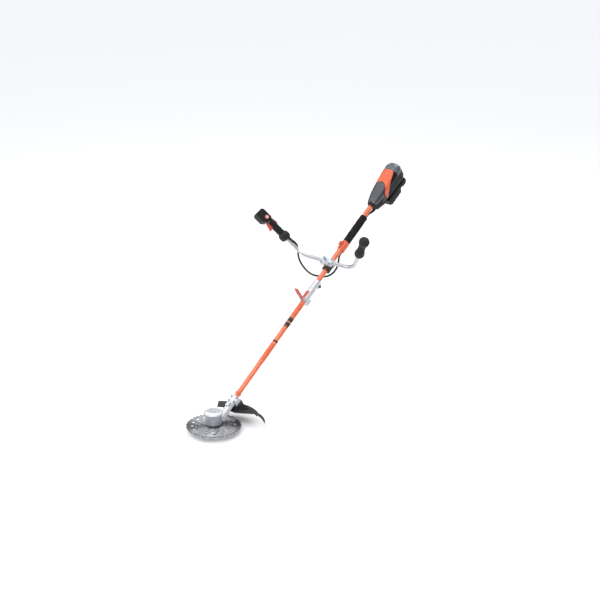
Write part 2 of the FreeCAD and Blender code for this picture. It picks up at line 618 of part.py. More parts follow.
GRIP_FOOT = 14.0
GRIP_RADIUS = 17.5
HEAD_START = 108.0
HEAD_END = 172.0
PIN_RADIUS = 2.0
TRIGGER_PIN = Vector(-20, -15, 101)       # where each pin starts, in the grip's frame
LOCK_OFF_PIN = Vector(-20, 12.5, 101)


def side_outline(points, x0, x1):
    """An outline of (z, y) points in the grip's frame, carried from x0 to x1."""
    corners = [Vector(x0, y, z) for z, y in points]
    return Part.Face(Part.makePolygon(corners + corners[:1])).extrude(Vector(x1 - x0, 0, 0))


def control_grip():
    place = grip_frame(RIGHT_CORNER, RIGHT_ANGLE, RIGHT_ARM)
    handle = Part.makeCylinder(GRIP_RADIUS, HEAD_START + 4 - GRIP_FOOT, Vector(0, 0, GRIP_FOOT), Z)
    head = side_outline([(HEAD_START, 15), (HEAD_END - 10, 15), (HEAD_END, 6), (HEAD_END, -30),
                         (HEAD_END - 9, -39), (HEAD_START + 14, -39), (HEAD_START - 2, -24)], -21, 21)
    head = rounded(head, 5, lambda c: abs(c.x) > 20.9)
    whole = join([handle, head])
    # room for the bar, the trigger, the lock-off lever, the switch and the power button
    whole = whole.cut(Part.makeCylinder(BAR_RADIUS, 56 - GRIP_FOOT, Vector(0, 0, GRIP_FOOT), Z))
    whole = whole.cut(Part.makeBox(13, 24, 50, Vector(-6.5, -24, 58)))
    whole = whole.cut(Part.makeBox(11, 16, 46, Vector(-5.5, 6, 62)))
    whole = whole.cut(Part.makeBox(32, 40, 48, Vector(-16, -30, HEAD_START + 6)))
    whole = whole.cut(Part.makeCylinder(6.1, 20, Vector(10, -6, 124), X))
    for start in (TRIGGER_PIN, LOCK_OFF_PIN):
        whole = whole.cut(Part.makeCylinder(PIN_RADIUS, 40, start, X))
    inner = Part.makeBox(80, 120, 200, Vector(0.1, -60, 0))
    outer = Part.makeBox(80, 120, 200, Vector(-80.1, -60, 0))
    put("control_grip_inner", [whole.common(inner)], place)
    put("control_grip_outer", [whole.common(outer)], place)
    lobes = [Part.makeCylinder(24, 20, Vector(0, 0, -7), Z)]
    lobe = Part.makeCylinder(9, 20, Vector(18.5, 0, -7), Z)
    lobes += around(lobe, 6)
    flange = join(lobes).cut(Part.makeCylinder(BAR_RADIUS, 40, Vector(0, 0, -10), Z))
    flange = flange.cut(Part.makeCylinder(CABLE_RADIUS + 0.3, 14, Vector(17.5, 0, -8), Z))
    put("grip_flange", [flange], place)
    pins = [Part.makeCylinder(PIN_RADIUS, 32, TRIGGER_PIN + X * 4, X),
            Part.makeCylinder(PIN_RADIUS, 30, LOCK_OFF_PIN + X * 5, X)]
    put("grip_pins", pins, place)
    trigger = side_outline([(105.5, -12), (105.5, -22), (95, -27), (80, -31), (66, -37), (62, -34), (65, -22),
                            (70, -13.5), (84, -10.5), (98, -10.5)], -5.8, 5.8)
    trigger = rounded(trigger, 1.5, lambda c: abs(c.x) > 5.7 and c.y < -18)
    put("trigger", [trigger.cut(Part.makeCylinder(PIN_RADIUS + SLIDE_GAP, 40, TRIGGER_PIN, X))], place)
    lever = side_outline([(105, 10), (105, 15), (98, 18.5), (84, 23), (70, 23), (66, 20), (67, 18), (84, 18),
                          (92, 13), (98, 9.5)], -4.8, 4.8)
    put("lock_off_lever", [lever.cut(Part.makeCylinder(PIN_RADIUS + SLIDE_GAP, 40, LOCK_OFF_PIN, X))], place)
    button = Part.makeCylinder(6.0, 9, Vector(14.5, -6, 124), X)
    put("power_button", [rounded(button, 1.2, lambda c: c.x > 23)], place)
    put("switch_module", [Part.makeBox(24, 22, 26, Vector(-14, -18, HEAD_START + 10))], place)
    spring_foot = Vector(0, -10.3, 80)
    coil = Part.makeCylinder(3.2, 7, spring_foot, Vector(0, 1, 0))
    put("trigger_spring", [coil.cut(Part.makeCylinder(2.4, 7, spring_foot, Vector(0, 1, 0)))], place)


# ---- control cable -------------------------------------------------------------------------------
# The cable's points, from the control grip's flange down in a loop, under the tube, along it and into
# the housing, as (x, height, station).
ENTRY_HEIGHT = -34.0
CABLE_ROUTE = [
    (-224.5, 134.2, 1012.1), (-208, 115.7, 1008.8), (-194, 92, 1013), (-187, 64, 1017), (-192, 34, 1012),
    (-199, 4, 1003), (-198, -22, 993), (-186, -42, 983), (-163, -56, 971), (-130, -58, 957), (-95, -50, 946),
    (-64, -38, 939), (-36, -29, 936.5), (-10, -26.5, 936.5), (11.7, -26, 949), (24, -28, 970.6), (24, -30, 995),
    (21, -30, 1017), (14, -26, 1038), (6, -20.5, 1058), (0, CABLE_HEIGHT, 1076), (0, CABLE_HEIGHT, 1326),
    (0, -20, 1342), (0, -27, 1358), (0, -32.5, 1374), (0, ENTRY_HEIGHT, 1392), (0, ENTRY_HEIGHT, 1412)]
CABLE_SHARE = 0.45          # how much of a run each arc takes


def control_cable():
    points = [SHAFT.multVec(at(*place)) for place in CABLE_ROUTE]
    edges = []
    start = points[0]
    tightest = 1e9
    for before, corner, after in zip(points, points[1:], points[2:]):
        into = corner - before
        out = after - corner
        run = min(into.Length, out.Length)
        into.normalize()
        out.normalize()
        half = into.getAngle(out) / 2
        radius = CABLE_SHARE * run / math.tan(half)
        tightest = min(tightest, radius)
        first = corner - into * (CABLE_SHARE * run)
        last = corner + out * (CABLE_SHARE * run)
        middle = corner + (out - into).normalize() * (radius / math.cos(half) - radius)
        edges += [Part.makeLine(start, first), Part.Arc(first, middle, last).toShape()]
        start = last
    edges.append(Part.makeLine(start, points[-1]))
    path = Part.Wire(edges)
    length = path.Length
    tube = swept(path, CABLE_RADIUS)
    section = math.pi * CABLE_RADIUS ** 2
    share = tube.Volume / (section * length)
    print(f"cable length {length:.0f} mm, tightest arc {tightest:.0f} mm, volume share {share:.4f}")
    put("control_cable", [tube])


# ---- rear housing --------------------------------------------------------------------------------
# station, half width, height above the axis, depth below it, corner radius
HOUSING_SECTIONS = [
    (HOUSING_START, 19.0, 19.0, 24.0, 15.0),
    (1392.0, 26.0, 23.0, 38.0, 17.0),
    (1437.0, 35.0, 31.0, 47.0, 20.0),
    (1497.0, 40.0, 39.0, 49.0, 22.0),
    (1560.0, 42.0, 47.0, 49.0, 25.0),
    (1602.0, 41.0, 54.0, 49.0, 29.0),
    (HOUSING_END, 32.0, 47.0, 40.0, 24.0),
]


def rounded_section(station, half, high, low, corner, inset):
    """A rectangle with round corners, square to the shaft, pulled in all round by inset."""
    right = half - inset
    top = high - inset
    foot = -(low - inset)
    r = max(corner - inset, 3.0)
    bow = r * (1 - math.sqrt(0.5))
    corners = [(right, top), (-right, top), (-right, foot), (right, foot)]
    signs = [(1, 1), (-1, 1), (-1, -1), (1, -1)]
    edges = []
    for (cx, cy), (sx, sy) in zip(corners, signs):
        side = at(cx, cy - sy * r, station)
        cap = at(cx - sx * r, cy, station)
        middle = at(cx - sx * bow, cy - sy * bow, station)
        first, last = (side, cap) if sx * sy > 0 else (cap, side)
        edges.append((first, middle, last))
    wires = []
    for number, (first, middle, last) in enumerate(edges):
        wires.append(Part.Arc(first, middle, last).toShape())
        wires.append(Part.makeLine(last, edges[(number + 1) % 4][0]))
    return Part.Wire(wires)


def housing_form(inset):
    """The housing's closed form, pulled in by inset on every side."""
    wires = []
    for number, (station, half, high, low, corner) in enumerate(HOUSING_SECTIONS):
        shift = inset if number == 0 else -inset if number == len(HOUSING_SECTIONS) - 1 else 0.0
        wires.append(rounded_section(station + shift, half, high, low, corner, inset))
    return Part.makeLoft(wires, True, True)


TONGUE_HALF = 34.0          # the tongue's round end is half of an ellipse, seen from above
TONGUE_LONG = 50.0
TONGUE_WIDEST = 1451.0
CAP_START = 1577.0
CAP_FOOT = 14.0
# the side view of the tongue and of the orange cover, as (station, height)
TONGUE_SIDE = [(1386, 2), (1440, 2), (1452, 12), (1475, 25), (1510, 30), (1510, 80), (1386, 80)]
COVER_SIDE = [(1426, -17), (1437, -21), (1452, -24), (1469, -19), (1483, -3), (1497, 12), (1512, 25),
              (1529, 33), (1549, 39), (1566, 44), (CAP_START, 48), (CAP_START, 80), (1440, 80), (1440, 4)]


def housing():
    outer = housing_form(0.0)
    middle = housing_form(SKIN)
    inner = housing_form(2 * SKIN)
    bay = block(-60, 60, -90, BAY_CEILING, BAY_START, HOUSING_END + 10)
    bay_inside = block(-60, 60, -90, BAY_CEILING + 2 * SKIN, BAY_START - 2 * SKIN, HOUSING_END + 10)
    skin = outer.cut(middle)
    arch = Part.Ellipse(Vector(0, 0, TONGUE_WIDEST + TONGUE_LONG), Vector(TONGUE_HALF, 0, TONGUE_WIDEST),
                        Vector(0, 0, TONGUE_WIDEST))
    arch = Part.Face(Part.Wire(arch.toShape())).extrude(Vector(0, -100, 0))
    tongue_zone = arch.fuse(block(-60, 60, 0, 100, 1380, TONGUE_WIDEST)).common(prism(TONGUE_SIDE, -60, 60))
    cover_zone = prism(COVER_SIDE, -60, 60)
    cap_zone = block(-60, 60, CAP_FOOT, 80, CAP_START, HOUSING_END + 5)
    gap = 0.15
    tongue = skin.common(tongue_zone)
    cover = skin.common(cover_zone).cut(tongue_zone)
    rear = skin.common(cap_zone)
    put("nose_cover", [max(tongue.Solids, key=lambda s: s.Volume)], SHAFT)
    put("top_cover", [max(cover.Solids, key=lambda s: s.Volume)], SHAFT)
    put("rear_cap", [max(rear.Solids, key=lambda s: s.Volume)], SHAFT)
    shell = outer.cut(inner.cut(bay_inside)).cut(bay).cut(tongue).cut(cover).cut(rear)
    shell = shell.cut(rod(TUBE_RADIUS, HOUSING_START - 5, BAY_START))
    shell = shell.cut(rod(CABLE_RADIUS + 1.6, HOUSING_START - 5, HOUSING_START + 60, 0, ENTRY_HEIGHT))
    left = shell.common(Part.makeBox(100, 200, 400, Vector(gap, -100, HOUSING_START - 10)))
    right = shell.common(Part.makeBox(100, 200, 400, Vector(-100 - gap, -100, HOUSING_START - 10)))
    put("housing_left", [max(left.Solids, key=lambda s: s.Volume)], SHAFT)
    put("housing_right", [max(right.Solids, key=lambda s: s.Volume)], SHAFT)


RAIL_END = 1600.0


def housing_inside():
    """Seat and rails, controller and heat sink; the terminal block is returned for its own node."""
    seat = pipe(18, TUBE_RADIUS, HOUSING_START + 20, UPPER_TUBE_END)
    board = block(-26, 26, 4, 6, 1452, 1560)
    capacitors = [block(-20, -6, 6, 16, 1462, 1482), block(4, 20, 6, 14, 1470, 1500),
                  block(-18, 2, 6, 12, 1500, 1530)]
    put("controller_board", [join([board] + capacitors)], SHAFT)
    fins = [block(-22, 22, 17, 30, 1532 + 5 * n, 1534 + 5 * n) for n in range(6)]
    put("heat_sink", [join([block(-22, 22, 14, 17.5, 1530, 1560)] + fins)], SHAFT)
    terminals = join([block(-14, 14, -20, -12.5, 1468, 1486), block(-12, -9, -22.6, -19, 1470, 1484),
                      block(9, 12, -22.6, -19, 1470, 1484)])
    web = 3.0
    rails = []
    for side in (-1, 1):
        x_web = sorted((side * 25.0, side * 28.0))
        x_lip = sorted((side * 19.0, side * 28.0))
        rails.append(join([block(x_web[0], x_web[1], -39.5, BAY_CEILING, BAY_START + 4, RAIL_END),
                           block(x_lip[0], x_lip[1], -39.5, -39.5 + web, BAY_START + 4, RAIL_END)]))
    put("housing_frame", [seat] + rails, SHAFT)
    return terminals


# ---- battery -------------------------------------------------------------------------------------
PACK_START = 1456.0
PACK_END = 1613.0
PACK_SEAM = -48.2
PACK_FOOT = -80.0


def battery():
    head = join([block(-24, 24, -35.7, -29, PACK_START - 1, RAIL_END + 4),
                 block(-18, 18, -41, -35, PACK_START - 1, RAIL_END + 4)])
    top = block(-40, 40, PACK_SEAM + 0.2, -40.5, PACK_START, PACK_END)
    put("battery_lid", [join([head, rounded(top, 3, lambda c: abs(c.x) > 39.9 and c.z > 1500)])], SHAFT)
    low = prism([(PACK_START + 2, PACK_SEAM), (PACK_END, PACK_SEAM), (PACK_END, -59), (1603, -67.5),
                 (1582, -67.5), (1570, -60), (1562, -62), (1553, PACK_FOOT), (1470, PACK_FOOT),
                 (PACK_START + 2, -70)], -40, 40)
    low = rounded(low, 4, lambda c: abs(c.x) > 39.9 and c.y > 60)
    hollow = block(-37, 37, PACK_FOOT + 3.5, PACK_SEAM + 1, PACK_START + 8, 1548)
    hollow = hollow.fuse(block(-37, 37, -56.5, PACK_SEAM + 1, 1547, PACK_END - 4))
    latch_pocket = block(-12.2, 12.2, -60, -49.5, PACK_END - 14, PACK_END + 10)
    put("battery_case", [low.cut(hollow).cut(latch_pocket)], SHAFT)
    cells = []
    for row in range(4):
        cells.append(cross_pin(9.0, -35, 35, -64.0, PACK_START + 20 + 20 * row))
    put("battery_cells", cells, SHAFT)
    latch = block(-11.8, 11.8, -59.6, -50, PACK_END - 9.5, PACK_END + 4)
    put("battery_latch", [rounded(latch, 1.5, lambda c: c.z > PACK_END + 3)], SHAFT)


# ---- build ---------------------------------------------------------------------------------------
motor_can()
motor_lid()
motor_inside()
spindle()
blade_holders()
saw_blade()
stabiliser_cup()
neck_clamp_screws = neck_casting()
guard()
guard_clamp_bolts = guard_clamp()
put("head_screws", neck_clamp_screws + guard_clamp_bolts, SHAFT)
lower_tube()
coupling()
coupling_lever()
coupling_socket = upper_tube()
handle_bolts = handle_bracket()
collar_screws = harness_collar()
put("bracket_bolts", handle_bolts + collar_screws, SHAFT)
foam_sleeve()
handlebar()
left_grip()
control_grip()
control_cable()
housing()
put("power_connectors", [coupling_socket, housing_inside()], SHAFT)
battery()
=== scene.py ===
# %% [markdown]
# # A battery brush cutter with a two-hand handlebar
#
# The exact model of the machine gives every hard part its place and its size. This lesson adds what
# the eye looks for: the rubber and foam, the loose cable, the finish of each metal and plastic, and
# the small features that only show close up. Lengths are in metres unless a name says millimetres.

# %% Tools
import json

import bpy
import numpy as np
from mathutils import Matrix


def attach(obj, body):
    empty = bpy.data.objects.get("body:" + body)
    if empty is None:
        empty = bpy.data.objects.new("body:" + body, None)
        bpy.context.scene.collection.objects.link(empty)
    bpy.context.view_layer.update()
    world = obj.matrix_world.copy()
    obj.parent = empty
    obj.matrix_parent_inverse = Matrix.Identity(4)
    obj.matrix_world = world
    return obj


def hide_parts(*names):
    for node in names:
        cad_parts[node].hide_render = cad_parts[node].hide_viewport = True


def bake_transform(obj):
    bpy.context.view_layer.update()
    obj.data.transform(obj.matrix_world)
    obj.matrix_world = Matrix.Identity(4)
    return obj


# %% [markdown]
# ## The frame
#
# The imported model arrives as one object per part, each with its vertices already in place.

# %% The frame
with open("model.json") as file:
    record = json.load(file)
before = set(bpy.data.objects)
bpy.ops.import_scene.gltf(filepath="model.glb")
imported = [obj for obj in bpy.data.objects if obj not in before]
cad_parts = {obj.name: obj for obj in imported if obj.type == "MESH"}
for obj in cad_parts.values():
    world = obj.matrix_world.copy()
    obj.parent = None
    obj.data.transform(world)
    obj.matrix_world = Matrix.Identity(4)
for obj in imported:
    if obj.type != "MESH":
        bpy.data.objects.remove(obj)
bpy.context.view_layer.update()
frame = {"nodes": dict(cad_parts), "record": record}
record = frame["record"]
nodes = frame["nodes"]

# %% [markdown]
# ## The shaft's own directions
#
# Most parts sit on a shaft that leans back at 34 degrees. It is easier to place things by how far
# they are along it (the station), how high above its axis (the height) and how far to the side (x).
# One small matrix turns such a triple into a point of the room.

# %% The shaft's directions
LEAN = np.radians(34.0)             # the shaft's angle above the ground
AXIS_RISE = 15.0                    # mm from the ground to the shaft's line, at the blade's axis
ALONG = np.array([0.0, np.cos(LEAN), np.sin(LEAN)])
UP = np.array([0.0, -np.sin(LEAN), np.cos(LEAN)])
ACROSS = np.array([1.0, 0.0, 0.0])
MM = 0.001


def on_shaft(places):
    """Room points, in metres, of places given as x, height and station in millimetres:
    x times the sideways direction, plus height times the upward one, plus station times the
    shaft's own direction, all from the foot of the shaft's line."""
    places = np.asarray(places, float)
    turned = places @ np.array([ACROSS, UP, ALONG])
    return (turned + [0.0, 0.0, AXIS_RISE]) * MM


print("the harness eye is at", on_shaft([0, 29, 1125]).round(4))

# %% [markdown]
# ## The camera
#
# A long lens from eight metres away keeps the thin machine free of strong perspective. The camera
# looks down at a shallow angle, from the machine's front and to its side, at a point near the
# middle of the shaft.

# %% The camera
AIM = np.array([0.0, 0.607, 0.457])
TURN, RISE, DISTANCE = np.radians(40.0), np.radians(21.2), 8.0
FOCAL, SENSOR = 102.53, 36.0        # mm


def make_camera():
    """A camera at the aim point plus the distance along a direction given by two angles: the
    turn round the vertical and the rise above the ground."""
    back = np.array([np.sin(TURN) * np.cos(RISE), -np.cos(TURN) * np.cos(RISE), np.sin(RISE)])
    data = bpy.data.cameras.new("camera")
    data.lens = FOCAL
    data.sensor_width = SENSOR
    data.clip_end = 50.0
    camera = bpy.data.objects.new("camera", data)
    bpy.context.scene.collection.objects.link(camera)
    right = np.array([np.cos(TURN), np.sin(TURN), 0.0])
    upward = np.cross(back, right)
    matrix = np.eye(4)
    matrix[:3, 0], matrix[:3, 1], matrix[:3, 2] = right, upward, back
    matrix[:3, 3] = AIM + DISTANCE * back
    camera.matrix_world = Matrix(matrix)
    bpy.context.scene.camera = camera
    return camera


camera = make_camera()
print("camera at", [round(c, 3) for c in camera.matrix_world.translation])

# %% [markdown]
# ## Surfaces from two parameters
#
# Every new piece is a grid of points: rows along one parameter and columns along the other. The
# columns always join up into a round. If the rows join up too it is a ring, and if they don't it is a
# tube, with a fan of triangles to close each end. The signed volume of the closed shell tells whether
# its faces point outwards.

# %% Surfaces from two parameters
def grid_faces(rows, columns, row_ring):
    """Four corners of each cell of a grid: (i, j), (i+1, j), (i+1, j+1), (i, j+1), with the index
    taken round to zero where the grid is joined to itself."""
    i, j = np.meshgrid(np.arange(rows if row_ring else rows - 1), np.arange(columns), indexing="ij")
    i, j = i.ravel(), j.ravel()
    a, b = (i + 1) % rows, (j + 1) % columns
    return np.stack([i * columns + j, a * columns + j, a * columns + b, i * columns + b], 1)


def signed_volume(points, faces):
    """A sixth of the sum, over fans of triangles, of the first corner dotted with the cross
    product of the other two: positive when the faces point outwards."""
    total = 0.0
    for corners in faces:
        corners = np.asarray(corners)
        for k in range(1, corners.shape[1] - 1):
            a, b, c = points[corners[:, 0]], points[corners[:, k]], points[corners[:, k + 1]]
            total += np.einsum("ij,ij->i", a, np.cross(b, c)).sum() / 6
    return total


def make_piece(name, grids):
    """One object from several grids, each (points, rows joined, ends closed). A closed end is a fan
    to the middle of its row. Faces are turned outwards by the sign of each grid's own volume."""
    all_points, all_faces, base = [], [], 0
    for points, row_ring, caps in grids:
        points = np.asarray(points, float)
        rows, columns = points.shape[:2]
        flat = points.reshape(-1, 3)
        quads = grid_faces(rows, columns, row_ring)
        faces = [quads]
        if caps:
            j = np.arange(columns)
            k = (j + 1) % columns
            last = (rows - 1) * columns
            flat = np.vstack([flat, points[0].mean(0), points[-1].mean(0)])
            faces.append(np.stack([np.full(columns, rows * columns), j, k], 1))
            faces.append(np.stack([np.full(columns, rows * columns + 1), last + k, last + j], 1))
        if signed_volume(flat - flat.mean(0), faces) < 0:
            faces = [f[:, ::-1] for f in faces]
        all_points.append(flat)
        all_faces += [(f + base).tolist() for f in faces]
        base += len(flat)
    mesh = bpy.data.meshes.new(name)
    mesh.from_pydata(np.vstack(all_points).tolist(), [], [f for part in all_faces for f in part])
    mesh.polygons.foreach_set("use_smooth", np.full(len(mesh.polygons), True))
    mesh.update()
    piece = bpy.data.objects.new(name, mesh)
    bpy.context.scene.collection.objects.link(piece)
    print(name, len(mesh.vertices), "points", len(mesh.polygons), "faces")
    return piece


# %% [markdown]
# ## The control cable
#
# The real cable is a smooth rubber-covered flex, 9 mm thick, that carries the switch's signal
# from the control grip to the rear housing. It leaves the grip's flange, hangs in an open loop
# under the handlebar, passes below the tube, lies along it inside the collar and the foam, and
# enters the housing from below. A spline whose points only pull at it gives the even, slightly lazy
# bends of real flex.

# %% The cable's line
CABLE_DIAMETER = 0.009
SPLINE_STEPS, CABLE_COLUMNS = 12, 20
CABLE_ROUTE = on_shaft([
    (-224.5, 134.2, 1012.1), (-208, 115.7, 1008.8), (-194, 92, 1013), (-187, 64, 1017),
    (-192, 34, 1012), (-199, 4, 1003), (-198, -22, 993), (-186, -42, 983), (-163, -56, 971),
    (-130, -58, 957), (-95, -50, 946), (-64, -38, 939), (-36, -29, 936.5), (-10, -26.5, 936.5),
    (11.7, -26, 949), (24, -28, 970.6), (24, -30, 995), (21, -30, 1017), (14, -26, 1038),
    (6, -20.5, 1058), (0, -16.8, 1076), (0, -16.8, 1326), (0, -20, 1342), (0, -27, 1358),
    (0, -32.5, 1374), (0, -34, 1392), (0, -34, 1412)])


def spline_points(name, route, steps):
    """Points along a quadratic spline that the route's points pull at, read from a curve without
    thickness. The curve itself is removed again."""
    curve = bpy.data.curves.new(name, "CURVE")
    curve.dimensions = "3D"
    curve.resolution_u = steps
    spline = curve.splines.new("NURBS")
    spline.points.add(len(route) - 1)
    spline.points.foreach_set("co", np.c_[route, np.ones(len(route))].ravel())
    spline.order_u = 3
    spline.use_endpoint_u = True
    holder = bpy.data.objects.new(name, curve)
    bpy.context.scene.collection.objects.link(holder)
    line = bpy.data.meshes.new_from_object(holder)
    points = np.empty(len(line.vertices) * 3)
    line.vertices.foreach_get("co", points)
    bpy.data.objects.remove(holder)
    return points.reshape(-1, 3)


def frames_along(line):
    """At each point of a line, its direction and two directions square to it. The second is kept
    as close as it can be to the one before, so a tube on the line doesn't twist."""
    ahead = np.gradient(line, axis=0)
    ahead /= np.linalg.norm(ahead, axis=1, keepdims=True)
    side = np.empty_like(line)
    first = np.cross(ahead[0], [0.3, 0.5, 0.8])
    side[0] = first / np.linalg.norm(first)
    for k in range(1, len(line)):
        carried = side[k - 1] - ahead[k] * (side[k - 1] @ ahead[k])
        side[k] = carried / np.linalg.norm(carried)
    return ahead, side, np.cross(ahead, side)


def tube_on(line, radii, columns):
    """A grid of rings: at each point of the line, its radius times the cosine of the angle along
    one square direction, plus its radius times the sine along the other."""
    _, side, other = frames_along(line)
    angle = np.linspace(0, 2 * np.pi, columns, endpoint=False)
    radii = np.broadcast_to(radii, len(line))[:, None, None]
    ring = np.cos(angle)[None, :, None] * side[:, None] + np.sin(angle)[None, :, None] * other[:, None]
    return line[:, None] + radii * ring


def length_of(line):
    return float(np.linalg.norm(np.diff(line, axis=0), axis=1).sum())


cable_line = spline_points("cable_line", CABLE_ROUTE, SPLINE_STEPS)
control_cable = make_piece("control_cable_flex", [
    (tube_on(cable_line, CABLE_DIAMETER / 2, CABLE_COLUMNS), False, True)])
cable_length = length_of(cable_line)
print("cable length", round(cable_length, 4))

# %% [markdown]
# ## The cable's strain reliefs
#
# Where the flex leaves the grip's flange and where it enters the housing, a soft rubber boot stops it
# from kinking. It starts wide, narrows to just over the flex and has grooves all round so that it
# bends evenly. Each boot is the same tube as the flex, with a radius that follows the length.

# %% The cable's strain reliefs
BOOT_FOOT, BOOT_TIP = 7.8 * MM, 5.4 * MM       # radius where it starts and where it ends
BOOT_GROOVES, GROOVE_DEPTH = 7, 1.1 * MM
GROOVE_REACH = 0.35                            # a groove opens where the cosine is above this


def boot(name, line, columns=28):
    """A tube on a short line: its radius falls in a straight line from foot to tip, less a groove
    wherever a cosine along the line is near its top, and a tenth less at its very ends."""
    share = np.linspace(0.0, 1.0, len(line))
    dips = np.clip(np.cos(2 * np.pi * BOOT_GROOVES * share) - GROOVE_REACH, 0.0, None) * GROOVE_DEPTH
    ends = np.clip(np.minimum(share, 1 - share) / 0.05, 0.0, 1.0)
    radii = (BOOT_FOOT + (BOOT_TIP - BOOT_FOOT) * share - dips * ends) * (0.9 + 0.1 * ends)
    return make_piece(name, [(tube_on(line, radii, columns), False, True)])


def stretch_of(line, start, end, steps=90):
    """Evenly spaced points of the line between two lengths along it, in metres."""
    gone = np.r_[0.0, np.cumsum(np.linalg.norm(np.diff(line, axis=0), axis=1))]
    wanted = np.linspace(start, end, steps)
    return np.stack([np.interp(wanted, gone, line[:, k]) for k in range(3)], 1)


grip_boot = boot("cable_boot_grip", stretch_of(cable_line, 0.002, 0.034))
house_boot = boot("cable_boot_housing",
                  stretch_of(cable_line, cable_length - 0.022, cable_length - 0.056))
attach(grip_boot, "handlebar")
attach(house_boot, "upper_shaft")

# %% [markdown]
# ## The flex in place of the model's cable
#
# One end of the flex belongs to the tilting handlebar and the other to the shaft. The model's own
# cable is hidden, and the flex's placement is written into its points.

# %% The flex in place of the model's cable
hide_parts("control_cable")
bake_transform(control_cable)

# %% [markdown]
# ## Building blocks for the finishes
#
# Each finish is a small network of nodes. Writing one by hand takes many lines, so one helper adds a
# node with its settings and its inputs, and another starts a reusable group with named sockets. A
# group is built once and placed in every finish that needs it, with that finish's own values.

# %% Adding a node, and starting a group
def add(tree, kind, sockets=(), **settings):
    """A new node of that kind. Settings are its properties; sockets are pairs of an input's name
    or number with a value or with another node's output, which is then linked."""
    made = tree.nodes.new(kind if kind.startswith("NodeGroup") else "ShaderNode" + kind)
    for key, value in settings.items():
        setattr(made, key, value)
    for key, value in dict(sockets).items():
        if isinstance(value, bpy.types.NodeSocket):
            tree.links.new(value, made.inputs[key])
        else:
            made.inputs[key].default_value = value
    return made


def new_group(name, inputs, outputs):
    """A shader group with its named inputs (name, kind, value) and outputs (name, kind)."""
    tree = bpy.data.node_groups.new(name, "ShaderNodeTree")
    for label, kind, value in inputs:
        socket = tree.interface.new_socket(label, in_out="INPUT", socket_type="NodeSocket" + kind)
        if value is not None:
            socket.default_value = value
    for label, kind in outputs:
        tree.interface.new_socket(label, in_out="OUTPUT", socket_type="NodeSocket" + kind)
    return tree, add(tree, "NodeGroupInput").outputs, add(tree, "NodeGroupOutput").inputs


def mixed(tree, share, one, other):
    """One colour turning into the other as the share goes from 0 to 1."""
    return add(tree, "Mix", {0: share, 6: one, 7: other}, data_type="RGBA").outputs[2]


def math(tree, operation, one, other=0.0):
    return add(tree, "Math", {0: one, 1: other}, operation=operation).outputs[0]


def ramped(tree, value, low, high, bottom=0.0, top=1.0):
    """The value between low and high stretched to run from bottom to top, with soft ends."""
    return add(tree, "MapRange", {"Value": value, "From Min": low, "From Max": high, "To Min": bottom,
                                  "To Max": top}, interpolation_type="SMOOTHSTEP").outputs[0]


def tint(red, green, blue):
    """A colour given as 0 to 255 on a screen, turned into the linear values that shaders use."""
    screen = np.array([red, green, blue]) / 255.0
    linear = np.where(screen > 0.04045, ((screen + 0.055) / 1.055) ** 2.4, screen / 12.92)
    return (*linear.tolist(), 1.0)


# %% [markdown]
# ## Groups that several finishes share
#
# Six effects come back on many parts. Moulded plastic and castings have a fine grain. No real colour
# is even, so it drifts between two close tones. Drawn tubes and rolled bars carry long lines. Hands
# and grass leave smears and hair scratches that change the gloss. Edges are never sharp, and paint
# thins there. Last, many patterns have to follow the leaning shaft and not the room.

# %% The grain of moulded and cast surfaces
def grain_group():
    """Height: a share of small round cells plus a share of finer cloudy noise."""
    tree, given, out = new_group(
        "moulded_grain", [("Vector", "Vector", None), ("Scale", "Float", 900.0), ("Cells", "Float", 0.5)],
        [("Height", "Float")])
    fine = math(tree, "MULTIPLY", given["Scale"], 1.7)
    cloud = add(tree, "TexNoise", {"Vector": given["Vector"], "Scale": fine, "Detail": 3.0})
    cells = add(tree, "TexVoronoi", {"Vector": given["Vector"], "Scale": given["Scale"]},
                feature="SMOOTH_F1")
    weighed = math(tree, "MULTIPLY", cells.outputs["Distance"], given["Cells"])
    tree.links.new(math(tree, "ADD", weighed, cloud.outputs[0]), out["Height"])
    return tree


# %% A colour that drifts
def drift_group():
    """Colour: one tone turning into the other where slow cloudy noise passes its middle."""
    tree, given, out = new_group(
        "colour_drift", [("Vector", "Vector", None), ("Scale", "Float", 20.0), ("Colour", "Color", None),
                         ("Other", "Color", None)], [("Colour", "Color"), ("Mask", "Float")])
    noise = add(tree, "TexNoise", {"Vector": given["Vector"], "Scale": given["Scale"], "Detail": 5.0,
                                   "Roughness": 0.62})
    mask = ramped(tree, noise.outputs[0], 0.36, 0.66)
    tree.links.new(mask, out["Mask"])
    tree.links.new(mixed(tree, mask, given["Colour"], given["Other"]), out["Colour"])
    return tree


# %% Drawn lines along one direction
def lines_group():
    """Height: noise read from the place with its third part squeezed, so spots become long lines."""
    tree, given, out = new_group(
        "drawn_lines", [("Vector", "Vector", None), ("Count", "Float", 900.0), ("Length", "Float", 60.0)],
        [("Height", "Float")])
    squeeze = math(tree, "DIVIDE", 1.0, given["Length"])
    factors = add(tree, "CombineXYZ", {0: 1.0, 1: 1.0, 2: squeeze}).outputs[0]
    stretched = add(tree, "VectorMath", {0: given["Vector"], 1: factors}, operation="MULTIPLY").outputs[0]
    noise = add(tree, "TexNoise", {"Vector": stretched, "Scale": given["Count"], "Detail": 2.0})
    tree.links.new(noise.outputs[0], out["Height"])
    return tree


